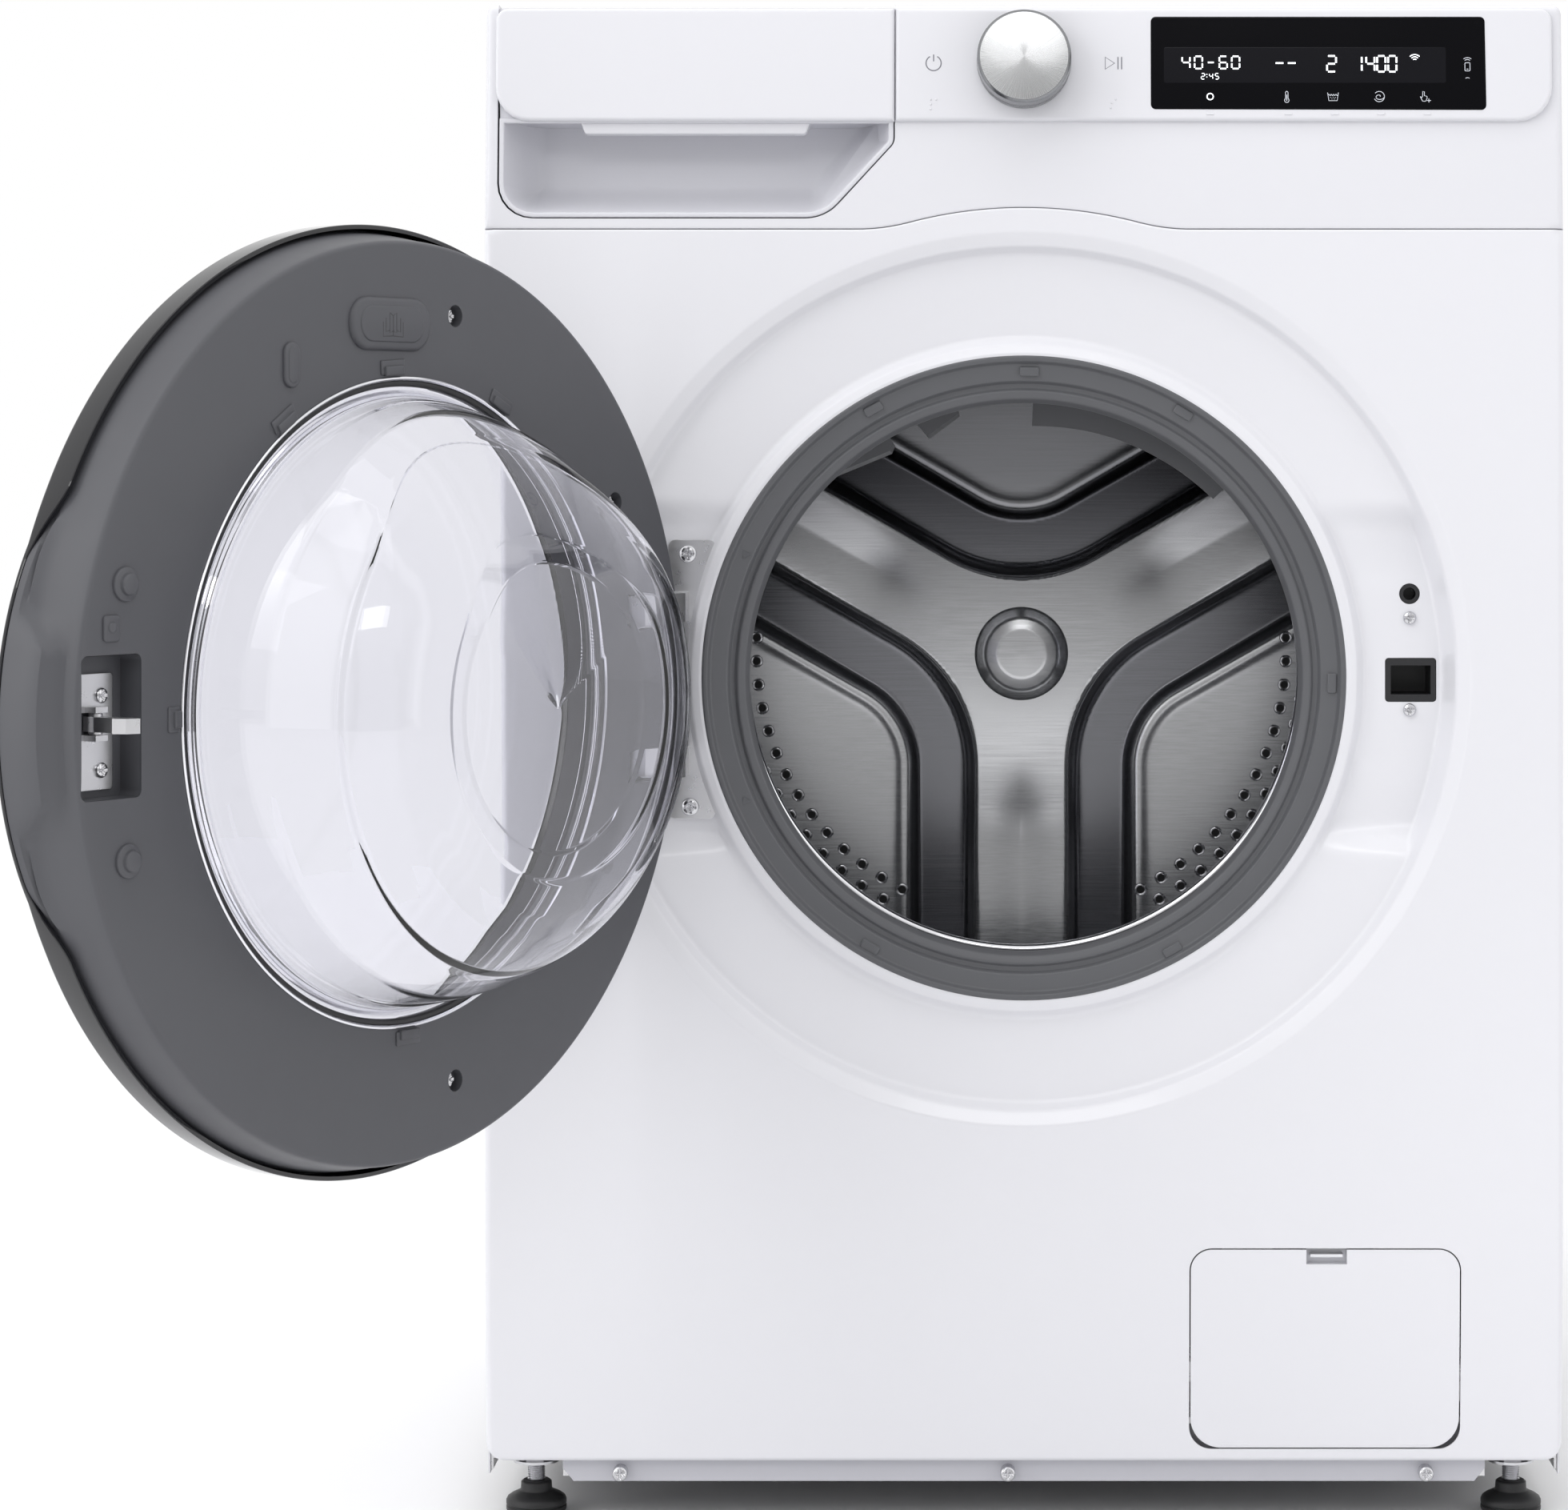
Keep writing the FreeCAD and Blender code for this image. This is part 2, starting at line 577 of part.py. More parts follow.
def make_console():
    outer = box(-HALF, HALF, FRONT, FRONT + 20, SEAM_Z - 20, HEIGHT + 0.4)
    outer = outer.makeFillet(6, upright_edges(outer, "y", lambda p: p.z > HEIGHT - 5))
    outer = outer.makeFillet(4, upright_edges(outer, "z", lambda p: p.y < FRONT + 1))
    inner = box(-HALF + 2.5, HALF - 2.5, FRONT + 2.5, FRONT + 30, SEAM_Z - 30, HEIGHT - 2.1)
    pad = fascia_pad(DRAWER_SEAM_X + GAP, 294, FRONT - PAD_PROUD, FRONT + 1)
    shell = outer.cut(inner).fuse(pad)
    shell = shell.cut(drawer_slab(GAP, FRONT - 8, FRONT + 12))
    x0, x1, z0, z1 = DISPLAY
    face = FRONT - PAD_PROUD
    tools = [rounded_box_y(x0 - 0.2, x1 + 0.2, face - 1, face + 2, z0 - 0.2, z1 + 0.2, 3)]
    tools.append(box(x0 + 12, x1 - 12, face, FRONT + 5, z0 + 8, z1 - 8))
    tools.append(cyl("y", (KNOB_X, face - 1, KNOB_Z), 5.0, 12))
    shell = cut_all(lean(shell), [lean(t) for t in tools])
    below = seam_region(SEAM_Z - 60, -0.25)
    return shell.cut(below).removeSplitter()


def make_display_window():
    x0, x1, z0, z1 = DISPLAY
    face = FRONT - PAD_PROUD
    return lean(rounded_box_y(x0, x1, face, face + 2, z0, z1, 2.8))


def make_control_board():
    """Circuit board behind the console with the encoder that the knob's stem turns in."""
    board_y = FRONT + 22
    board = box(-66, 262, board_y, board_y + 2, 752, 824)
    encoder = box(KNOB_X - 8, KNOB_X + 8, FRONT + 8, board_y, KNOB_Z - 7, KNOB_Z + 7)
    encoder = encoder.cut(cyl("y", (KNOB_X, FRONT + 7, KNOB_Z), 3.0 + RUN, 12))
    display = box(90, 236, FRONT + 6, board_y, 798, 824)
    relays = [box(x, x + 16, FRONT + 8, board_y, 756, 774) for x in (-40, -14, 40, 66, 120)]
    return lean(fuse([board, encoder, display] + relays))


def make_knob():
    """Programme knob: turned cup with a stem into the encoder."""
    face = FRONT - PAD_PROUD - 0.4
    skirt = cyl("y", (KNOB_X, face - KNOB_HIGH, KNOB_Z), KNOB_R, KNOB_HIGH)
    rim = [e for e in skirt.Edges if abs(e.CenterOfMass.y - (face - KNOB_HIGH)) < 0.01
           and e.Curve.TypeId == "Part::GeomCircle"]
    skirt = skirt.makeFillet(1.0, rim)
    hollow = cyl("y", (KNOB_X, face - KNOB_HIGH + 3, KNOB_Z), KNOB_R - 2, KNOB_HIGH)
    boss = cyl("y", (KNOB_X, face - KNOB_HIGH + 2, KNOB_Z), 5.5, 10)
    stem = cyl("y", (KNOB_X, face - KNOB_HIGH + 2, KNOB_Z), 3.0, FRONT + 18 - face + KNOB_HIGH - 2)
    return lean(fuse([skirt.cut(hollow), boss, stem]))


def make_drawer_front():
    """Drawer front: raised pad above, deep finger scoop below."""
    plate = drawer_slab(0, FRONT, FRONT + 3)
    pad = fascia_pad(-295, DRAWER_SEAM_X, FRONT - PAD_PROUD, FRONT - 0.2)
    bridge = drawer_slab(0, FRONT - 1, FRONT).common(box(-300, 0, FRONT - 2, FRONT, PAD_Z[0] + 18, 900))
    scoop = drawer_slab(-2.5, FRONT + 1, FRONT + 38).common(box(-300, 0, FRONT, FRONT + 60, 700, 786))
    scoop_void = drawer_slab(-4.5, FRONT - 2, FRONT + 36)
    scoop_void = scoop_void.common(box(-300, 0, FRONT - 5, FRONT + 60, 700, PAD_Z[0]))
    under_pad = box(-300, 0, FRONT - PAD_PROUD - 1, FRONT - 0.1, 700, PAD_Z[0])
    front = fuse([plate, pad, bridge, scoop]).cut(scoop_void).cut(under_pad)
    rib = box(-247, -120, FRONT + 2, FRONT + 6, 777, 785)
    return lean(fuse([front, rib]))


def make_drawer_tray(front):
    """Three-compartment detergent tray hanging on the back of the drawer front."""
    x0, x1 = TRAY_X
    deep = box(x0, x1, -232, -5, 748, 822)
    neck = box(x0, x1, FRONT, -232, 790, 822)
    body = fuse([deep, neck])
    cells = [(x0 + 2, x0 + 66), (x0 + 68, x0 + 132), (x0 + 134, x1 - 2)]
    voids = [box(a, b, -230, -7, 750, 830) for a, b in cells]
    voids.append(box(x0 + 2, x1 - 2, FRONT - 5, -229, 792, 830))
    slots = [box(a + 20, b - 20, -8, -4, 756, 766) for a, b in cells]
    body = body.common(drawer_slab(-3, FRONT, 0))
    corner_void = drawer_slab(-5, -230, -7)
    voids = [void.common(corner_void) for void in voids[:-1]] + voids[-1:]
    tray = cut_all(body, voids + slots + [front])
    return max(tray.Solids, key=lambda solid: solid.Volume)


def make_dispenser_housing():
    """Box the drawer slides in, open in front, with runners and a hose spigot below."""
    outer = box(-288, -79, -230, 15, 738, 826)
    inner = box(-286, -81, -231, 13, 740, 824)
    runners = [box(-286, -279, -230, 13, 740, 747.8), box(-112, -81, -230, 13, 740, 747.8)]
    spigot = tube("z", (-180, -30, 722), 16, 13, 16.5)
    drain = cyl("z", (-180, -30, 730), 13, 15)
    inlet = tube("y", (-230, 14, 780), 10, 7, 20)
    way_in = cyl("y", (-230, 5, 780), 7, 20)
    return fuse([outer.cut(inner).cut(drain).cut(way_in), spigot, inlet] + runners)


def make_inlet_valve():
    """Solenoid valve with its threaded inlet out of the rear panel and its pipe to the dispenser."""
    x, z = INLET
    thread = cyl("y", (x, BACK - 20, z), 13.2, 31)
    flange = cyl("y", (x, BACK - 20, z), 18.0, 6)
    body = box(x - 15, x + 15, BACK - 50, BACK - 20, z - 15, z + 15)
    coil = box(x - 13, x + 13, BACK - 48, BACK - 24, z - 45, z - 14)
    pipe = cyl("y", (x, 34.1, z), 9.0, BACK - 49 - 34.1)
    bore = cyl("y", (x, 34, z), 6.0, 260)
    return fuse([thread, flange, body, coil, pipe]).cut(bore)


# ---------------------------------------------------------------- hinge and lock
def arm_outline():
    """Goose-neck of the hinge bracket, seen from above."""
    return [(-187.5, FRONT + 18), (-187.5, FRONT - 8), (-196, FRONT - 20.6), (-204, FRONT - 24.6),
            (HINGE_X, FRONT - 24.6), (HINGE_X, HINGE_Y + 5.5), (-205, HINGE_Y + 5.5),
            (-199, FRONT - 5), (-199, FRONT + 18)]


def make_hinge_bracket():
    floor = FRONT + POCKET_DEPTH
    plate = rounded_box_y(-199, -172.6, floor - 3, floor, AXIS_Z - 79, AXIS_Z + 77, 4)
    plate = plate.cut(disc(DISH_FOOT - 1.5, floor - 4, floor + 1))
    pieces = [plate]
    holes = []
    for z in ARM_HEIGHTS:
        z0, z1 = z - ARM_THICK / 2, z + ARM_THICK / 2
        pieces.append(prism_z(arm_outline(), z0, z1))
        pieces.append(cyl("z", (HINGE_X, HINGE_Y, z0), 5.5, ARM_THICK))
        holes.append(cyl("z", (HINGE_X, HINGE_Y, z0 - 1), PIN_R + RUN, ARM_THICK + 2))
    holes += [cyl("y", (x, floor - 5, z), 2.0, 10) for x, z in HINGE_SCREWS]
    return cut_all(fuse(pieces), holes)


def make_door_lock():
    """Interlock body behind the panel; its mouth shows through the slot."""
    floor = FRONT + POCKET_DEPTH + SHEET
    x0, x1, z0, z1 = LOCK_SLOT
    case = box(x0 - 8, x1 + 8, floor, floor + 34, z0 - 26, z1 + 44)
    mouth = rounded_box_y(x0 + 0.2, x1 - 0.2, floor - 2, floor + 2, z0 + 0.2, z1 - 0.2, 1.8)
    slot = box(x0 + 3.2, x1 - 3.2, floor - 3, floor + 28, z0 + 4.2, z1 - 4.2)
    port = cyl("y", (LOCK_PORT[0], floor - 1, LOCK_PORT[1]), 5.6, 6)
    port_bore = cyl("y", (LOCK_PORT[0], floor - 2, LOCK_PORT[1]), 3.5, 12)
    screws = [cyl("y", (LOCK_PORT[0], floor - 2, z), 2.0, 12) for z in LOCK_SCREWS]
    return cut_all(fuse([case, mouth, port]), [slot, port_bore] + screws)


# ---------------------------------------------------------------- door, modelled closed
def at(t):
    """Y of a depth t behind the cabinet front."""
    return FRONT + t


def grip_solid(grow, t0, t1):
    """Lens-shaped bulge of the hand grip on the side away from the hinge."""
    lens = disc(GRIP_R + grow, at(t0), at(t1), x=GRIP_X)
    lens = lens.common(box(150, 260, at(t0), at(t1), AXIS_Z - 112, AXIS_Z + 112))
    return lens.cut(disc(GLASS_R + 7, at(t0), at(t1)))


def arm_slots():
    """Room in the door for the hinge arms through the whole swing."""
    slots = []
    for z in ARM_HEIGHTS:
        half = ARM_THICK / 2 + 1.5
        slots.append(box(-250, -184, at(-25.6), at(DOOR_INNER_T + 5), z - half, z + half))
    return slots


def door_bosses():
    """Raised marks and stops moulded on the inner face of the door."""
    face = at(DOOR_INNER_T)
    y0 = face - 1
    pieces = [rounded_box_y(-16.5, 44.7, y0, face + 3.2, AXIS_Z + 176.5, AXIS_Z + 203.5, 12)]
    pieces.append(rounded_box_y(81.5, 92.7, y0, face + 1.6, AXIS_Z + 157, AXIS_Z + 179.5, 5))
    for x, z in ((200.8, 64.5), (199.0, -64.0)):
        pieces.append(disc(7.5, y0, face + 2.5, x=x, z=AXIS_Z + z))
        pieces.append(disc(4.8, y0, face + 4.0, x=x, z=AXIS_Z + z))
    pieces.append(rounded_box_y(205, 215.5, y0, face + 1.5, AXIS_Z + 39, AXIS_Z + 50, 2))
    for angle in (57, 86, 116, 0, -90):
        tab = rounded_box_y(166, 172.5, y0, face + 1.5, AXIS_Z - 8, AXIS_Z + 8, 1.5)
        pieces.append(spun(tab, angle))
    return pieces


def make_door_frame():
    """Inner moulding of the door, a ring with a grip bulge, slots for the hinge and a latch pocket."""
    shell = turned([(GLASS_R + 0.4, -24), (GLASS_R + 0.4, DOOR_INNER_T), (FRAME_R - 4, DOOR_INNER_T),
                    (FRAME_R, DOOR_INNER_T - 3), (238.2, -24), (235.7, -24), (230.2, DOOR_INNER_T - 4.5),
                    (229, DOOR_INNER_T - 2.5), (GLASS_R + 2.9, DOOR_INNER_T - 2.5), (GLASS_R + 2.9, -24)])
    hollow = turned([(GLASS_R + 2.9, -40), (235.7, -40), (235.7, -24), (230.2, DOOR_INNER_T - 4.5),
                     (229, DOOR_INNER_T - 2.5), (GLASS_R + 2.9, DOOR_INNER_T - 2.5)])
    grip = grip_solid(0, -24, GRIP_TOP_T).cut(grip_solid(-2.5, -24, GRIP_TOP_T - 2.5)).cut(hollow)
    x0, x1, z0, z1 = LATCH_POCKET
    well = rounded_box_y(x0 - 2, x1 + 2, at(LATCH_FLOOR_T - 2), at(DOOR_INNER_T), z0 - 2, z1 + 2, 5)
    well = well.common(disc(FRAME_R + 1, at(-20), at(DOOR_INNER_T)))
    pocket = rounded_box_y(x0, x1, at(LATCH_FLOOR_T), at(DOOR_INNER_T + 2), z0, z1, 3.5)
    posts = []
    holes = [cyl("y", (LATCH_X, at(-20), z), 1.6, 20) for z in LATCH_SCREWS]
    for x, z in DOOR_SCREWS:
        posts.append(cyl("y", (x, at(-22), z), 7.5, 22 + DOOR_INNER_T))
        holes.append(cyl("y", (x, at(-1), z), 5.5, 20))
        holes.append(cyl("y", (x, at(-30), z), 2.0, 40))
    frame = fuse([shell, grip, well] + posts + door_bosses())
    frame = cut_all(frame, [pocket] + holes + arm_slots())
    tail_x = LATCH_PIVOT[0]
    tail = box(tail_x - 7, tail_x + 8, at(LATCH_FLOOR_T - 12), at(LATCH_FLOOR_T + 1), AXIS_Z - 7, AXIS_Z + 7)
    return frame.cut(tail)


def make_door_cover():
    """Gloss outer bezel, wrapping over the edge of the frame."""
    plate = fuse([ring(COVER_R, 168, at(DOOR_OUTER_T), at(DOOR_OUTER_T + 2.5)),
                  grip_solid(0.7, DOOR_OUTER_T, DOOR_OUTER_T + 2.5)])
    skirt = turned([(COVER_R, DOOR_OUTER_T + 1), (COVER_R, -15), (238.5, -15), (238.5, DOOR_OUTER_T + 1)])
    inner_rim = ring(170.5, 168, at(DOOR_OUTER_T), at(-24.2))
    cover = fuse([plate, skirt, inner_rim])
    edge = [e for e in cover.Edges if e.BoundBox.YMax < at(DOOR_OUTER_T) + 0.01 and e.Length > 400
            and e.BoundBox.XMax > 200]
    cover = cover.makeFillet(1.8, edge)
    tools = [grip_solid(0.05, DOOR_OUTER_T + 2.5, GRIP_TOP_T)]
    tools += arm_slots()
    tools += [grip_solid(0.05, -24, GRIP_TOP_T)]
    return cut_all(cover, tools)


def make_door_window():
    return disc(167.9, at(DOOR_OUTER_T), at(DOOR_OUTER_T + 3))


def make_door_bowl():
    """Clear bowl that reaches into the drum mouth when the door is shut."""
    outer = [(GLASS_R, 1.0), (GLASS_R, 5.0), (156, 5.0), (152.5, 9), (150.5, 18), (148, 30), (141, 52),
             (129, 78), (114, 98), (103, 105.5), (92, 107.5), (60, 106.5), (0, 106)]
    inner = [(0, 102.5), (60, 103), (91, 104), (101, 102), (111, 95.5), (125.6, 76.5), (137.6, 50.8),
             (144.5, 29.4), (147, 17.6), (149, 8), (151, 1.0)]
    return turned(outer + inner)


def make_glass_ring():
    """Thin bright trim ring over the flange of the bowl."""
    return turned([(GLASS_R + 0.3, 5.1), (GLASS_R + 0.3, DOOR_INNER_T + 1.3), (GLASS_R - 1.2, DOOR_INNER_T + 1.6),
                   (GLASS_R - 2.8, DOOR_INNER_T + 0.4), (GLASS_R - 2.8, 5.1)])


def make_door_hinge_block():
    """Die-cast block inside the door that holds the two hinge pins."""
    block = rounded_box_y(-226, -208, at(-27.8), at(1), AXIS_Z - 62, AXIS_Z + 55, 2)
    block = block.common(disc(229, at(-30), at(5)))
    arms = [cyl("z", (HINGE_X, HINGE_Y, z - 20), PIN_R + 0.01, 40) for z in ARM_HEIGHTS]
    return cut_all(block, arm_slots() + arms)


def make_hinge_pins():
    pins = [cyl("z", (HINGE_X, HINGE_Y, z - 13), PIN_R, 26) for z in ARM_HEIGHTS]
    return Part.makeCompound(pins)


def make_latch_plate():
    """Zinc plate on the floor of the latch pocket, slotted for the hook."""
    pivot_x, pivot_t = LATCH_PIVOT
    floor = LATCH_FLOOR_T
    plate = rounded_box_y(LATCH_X - 8, pivot_x + 9, at(floor), at(floor + 2), AXIS_Z - 31, AXIS_Z + 23, 2)
    window = box(pivot_x - 5, pivot_x + 6.5, at(floor - 1), at(floor + 3), AXIS_Z - 5, AXIS_Z + 5)
    ears = [box(pivot_x - 4, pivot_x + 4, at(floor + 1), at(2.5), z, z + 2.8)
            for z in (AXIS_Z - 8, AXIS_Z + 5.2)]
    bore = cyl("z", (pivot_x, at(pivot_t), AXIS_Z - 12), 1.5 + RUN, 24)
    screws = [cyl("y", (LATCH_X, at(-15), z), 1.7, 20) for z in LATCH_SCREWS]
    return cut_all(fuse([plate] + ears), [window, bore] + screws)


def make_latch_hook():
    """Hook that snaps into the interlock, pivoting in the latch plate."""
    pivot_x, pivot_t = LATCH_PIVOT
    outline = [(-3, -4), (4, -4), (5.5, 4), (4.5, 16), (10, 20), (7, 26), (1, 29), (-2.5, 20), (-2.5, 4)]
    blade = prism_z([(pivot_x + x, at(pivot_t + t)) for x, t in outline], AXIS_Z - 3.5, AXIS_Z + 3.5)
    pivot = cyl("z", (pivot_x, at(pivot_t), AXIS_Z - 8), 1.5, 16)
    barrel = cyl("z", (pivot_x, at(pivot_t), AXIS_Z - 4.8), 3.2, 9.6)
    return fuse([blade, pivot, barrel])


def make_door_screws():
    """Four long frame screws and two latch screws of the same thread."""
    screws = [pan_screw(x, 0, z) for x, z in DOOR_SCREWS]
    placed = []
    for screw in screws:
        flipped = screw.copy()
        centre = screw.BoundBox.Center
        flipped.rotate(V(centre.x, 0, centre.z), V(0, 0, 1), 180)
        flipped.translate(V(0, at(-1), 0))
        placed.append(flipped)
    for z in LATCH_SCREWS:
        screw = pan_screw(LATCH_X, 0, z, head_r=3.6, shank_r=1.5, length=7.0)
        screw.rotate(V(LATCH_X, 0, z), V(0, 0, 1), 180)
        screw.translate(V(0, at(LATCH_FLOOR_T + 2), 0))
        placed.append(screw)
    return Part.makeCompound(placed)


# ---------------------------------------------------------------- gasket
def make_gasket():
    """Door seal: bead round the panel mouth, front lip, bellows and collar on the tub."""
    seen = [(MOUTH - 0.2, 12.5), (175.5, 14.2), (165, 15.3), (164, 18), (161.5, 18), (160.5, 15.3),
            (156, 16.5), (153.6, 20), (154.5, 26), (158.5, 52), (167.5, 60), (168.8, 64), (168.8, 82)]
    hidden = [(171.8, 82), (171.8, 62), (170.5, 58.5), (161.5, 51), (157.6, 27), (157, 21), (159, 19.3),
              (160.3, 21), (165.2, 21), (166.5, 18.6), (174.8, 18.2), (174.8, 38), (182.8, 38), (182.8, 32),
              (MOUTH - 0.2, 32)]
    return turned(seen + hidden)


def make_gasket_clamp():
    """Wire ring that holds the seal's bead on the panel mouth, with its tension spring."""
    wire = Part.makeTorus(184.3, 1.2, V(0, at(35), AXIS_Z), V(0, 1, 0))
    coil = tube("y", (0, at(33.2), AXIS_Z - 184.3), 1.8, 1.25, 3.6)
    return fuse([wire, spun(coil, -35)])


# ---------------------------------------------------------------- tub and suspension
def make_tub_front():
    wall = ring(TUB_R + TUB_WALL, 172.0, TUB_FRONT, TUB_FRONT + TUB_WALL)
    neck = ring(175.5, 172.0, TUB_FRONT - 14, TUB_FRONT)
    shell = ring(TUB_R + TUB_WALL, TUB_R, TUB_FRONT, TUB_SPLIT)
    flange = ring(262, TUB_R, TUB_SPLIT - 6, TUB_SPLIT)
    return fuse([wall, neck, shell, flange])


def make_tub_rear():
    shell = fuse([disc(TUB_R + TUB_WALL, TUB_SPLIT, TUB_BACK), disc(262, TUB_SPLIT, TUB_SPLIT + 6)])
    x0, x1, y0, y1, z0 = SUMP
    lugs = [box(x0, x1, y0, y1, z0, 300)]
    for side in (-1, 1):
        for y in SPRING_YS:
            lug_x = sorted((side * 210, side * 256))
            lugs.append(box(lug_x[0], lug_x[1], y - 8, y + 8, 598, 604))
            lugs.append(box(lug_x[0], lug_x[1] if side < 0 else 230, y - 2, y + 2, 560, 598)
                        .common(box(-230, 230, -300, 300, 0, 900)))
        for y in DAMPER_YS:
            lugs.append(box(side * DAMPER_X - 12, side * DAMPER_X + 12, y - 8, y + 8, 286, 340))
    lugs.append(box(MOTOR_X - 25, MOTOR_X + 25, 64, 74, MOTOR_Z + 40, 260))
    lugs.append(box(MOTOR_X - 25, MOTOR_X + 25, 84, 94, MOTOR_Z + 40, 260))
    tub = fuse([shell] + lugs)
    void = disc(TUB_R, TUB_SPLIT - 5, TUB_BACK - 4)
    sump_void = box(x0 + TUB_WALL, x1 - TUB_WALL, y0 + TUB_WALL, y1 - TUB_WALL, z0 + TUB_WALL, 300)
    tub = tub.cut(void).cut(sump_void)
    housing = disc(48, 66, TUB_BACK + 50)
    ribs = []
    for k in range(12):
        rib = prism_x([(TUB_BACK - 1, AXIS_Z + 40), (TUB_BACK + 34, AXIS_Z + 40), (TUB_BACK + 8, AXIS_Z + 246),
                       (TUB_BACK - 1, AXIS_Z + 246)], -2, 2)
        ribs.append(spun(rib, 30 * k + 15))
    spigot = tube("z", (SUMP_EXIT[0], SUMP_EXIT[1], z0 - 12), 16, 13, 12.5)
    tub = fuse([tub, housing, spigot] + ribs)
    tools = [disc(SHAFT_R + 3, 60, 200), disc(BEARING_R + RUN, 60, 89.05), disc(BEARING_R + RUN, 124, 160)]
    tools.append(cyl("z", (SUMP_EXIT[0], SUMP_EXIT[1], z0 - 13), 13, 20))
    tools.append(cyl("y", (MOTOR_X, 0, MOTOR_Z), MOTOR_R + RUN, 200))
    for side in (-1, 1):
        tools += [cyl("z", (side * SPRING_X, y, 590), 4.0, 20) for y in SPRING_YS]
        tools.append(cyl("y", (side * HEATER_X, 50, HEATER_Z), 5.0, 20))
    return cut_all(tub, tools)


def make_bearings():
    pair = [ring(BEARING_R, SHAFT_R + RUN, y, y + 16) for y in (73.0, 124.0)]
    return Part.makeCompound(pair)


def make_shaft_seal():
    return ring(BEARING_R, SHAFT_R + RUN, 66.2, 72.8)


def make_heater():
    """Hairpin element in the sump, on a plate that closes the sump's back."""
    bend_y = -135
    leg = swept([(-HEATER_X, 75, HEATER_Z), (-HEATER_X, bend_y, HEATER_Z), (HEATER_X, bend_y, HEATER_Z),
                 (HEATER_X, 75, HEATER_Z)], 3.5)
    plate = box(-40, 40, 60.1, 63, 201, 218)
    return fuse([leg, plate])


def make_counterweights():
    """Concrete weights: a block on top of the tub and two arcs round its mouth."""
    block = box(-50, 180, -140, 70, 640, 790)
    block = block.makeFillet(12, upright_edges(block, "y", lambda p: p.z > 700))
    weights = [block.cut(disc(TUB_R + TUB_WALL + 0.2, -150, 80))]
    whole = ring(248, 186, TUB_FRONT - 28, TUB_FRONT - 0.1)
    for sign in (1, -1):
        wedge = [(0, AXIS_Z), (300, AXIS_Z + sign * 160), (300, AXIS_Z + sign * 300),
                 (-300, AXIS_Z + sign * 300), (-300, AXIS_Z + sign * 160)]
        weights.append(whole.common(prism_y(wedge, TUB_FRONT - 40, TUB_FRONT)))
    return Part.makeCompound(weights)


def make_springs():
    """Four suspension springs, each a coil with straight ends through its two anchors."""
    springs = []
    for side in (-1, 1):
        for y in SPRING_YS:
            x = side * SPRING_X
            coil_path = Part.makeHelix(9.0, 90.0, 9.0)
            circle = Part.Wire([Part.Circle(V(9, 0, 0), V(0, 1, 0), 1.6).toShape()])
            coil = Part.Wire(coil_path).makePipeShell([circle], True, True)
            coil.translate(V(x, y, 621))
            low = swept([(x + 9, y, 621.5), (x, y, 613), (x, y, 597)], 1.6)
            button = cyl("z", (x, y, 594), 6.0, 3.8)
            high = swept([(x + 9, y, 710.5), (x, y, 719), (x, y, 733)], 1.6)
            top_button = cyl("z", (x, y, 730.6), 6.0, 5)
            springs.append(fuse([coil, low, button, high, top_button]))
    return Part.makeCompound(springs)


def make_damper_cylinders():
    cylinders = []
    for side in (-1, 1):
        for y in DAMPER_YS:
            x = side * DAMPER_X
            body = cyl("z", (x, y, 52.05), 14.0, 160)
            bore = cyl("z", (x, y, 58), 12.0, 148)
            rod_way = cyl("z", (x, y, 200), 5.0 + RUN, 20)
            cylinders.append(body.cut(bore).cut(rod_way))
    return Part.makeCompound(cylinders)


def make_damper_rods():
    rods = []
    for side in (-1, 1):
        for y in DAMPER_YS:
            x = side * DAMPER_X
            rod = cyl("z", (x, y, 120), 5.0, 165.9)
            piston = cyl("z", (x, y, 120), 12.0 - RUN, 16)
            collar = cyl("z", (x, y, 270), 9.0, 15.9)
            rods.append(fuse([rod, piston, collar]))
    return Part.makeCompound(rods)


# ---------------------------------------------------------------- drum
def make_drum_shell():
    """Perforated shell with the flanged front ring and its rolled mouth."""
    shell = ring(DRUM_R + DRUM_SHEET, DRUM_R, DRUM_FRONT, DRUM_BACK + 8)
    mouth = DRUM_MOUTH
    front = turned([(mouth, 86.5), (mouth + 1.5, 84.5), (mouth + 3.5, 84.5), (mouth + 5, 86.5),
                    (mouth + 9, 89.5), (DRUM_R - 12, 90.5), (DRUM_R + 0.5, 88), (DRUM_R + 0.5, 89.2),
                    (DRUM_R - 12, 91.7), (mouth + 8.6, 90.7), (mouth + 3.8, 87.6),
                    (mouth + 3, 86.3), (mouth + 2.2, 86.3), (mouth + 1.5, 88.5), (mouth, 88.5)])
    drum = fuse([shell, front])
    holes = []
    for column in range(36):
        if column % 12 in (0, 1, 11):
            continue
        for row in range(7):
            y = DRUM_FRONT + 30 + row * 29 + (column % 2) * 14.5
            hole = cyl("z", (0, y, AXIS_Z + DRUM_R - 3), 2.2, 8)
            holes.append(spun(hole, column * 10 + 90))
    return cut_all(drum, holes)


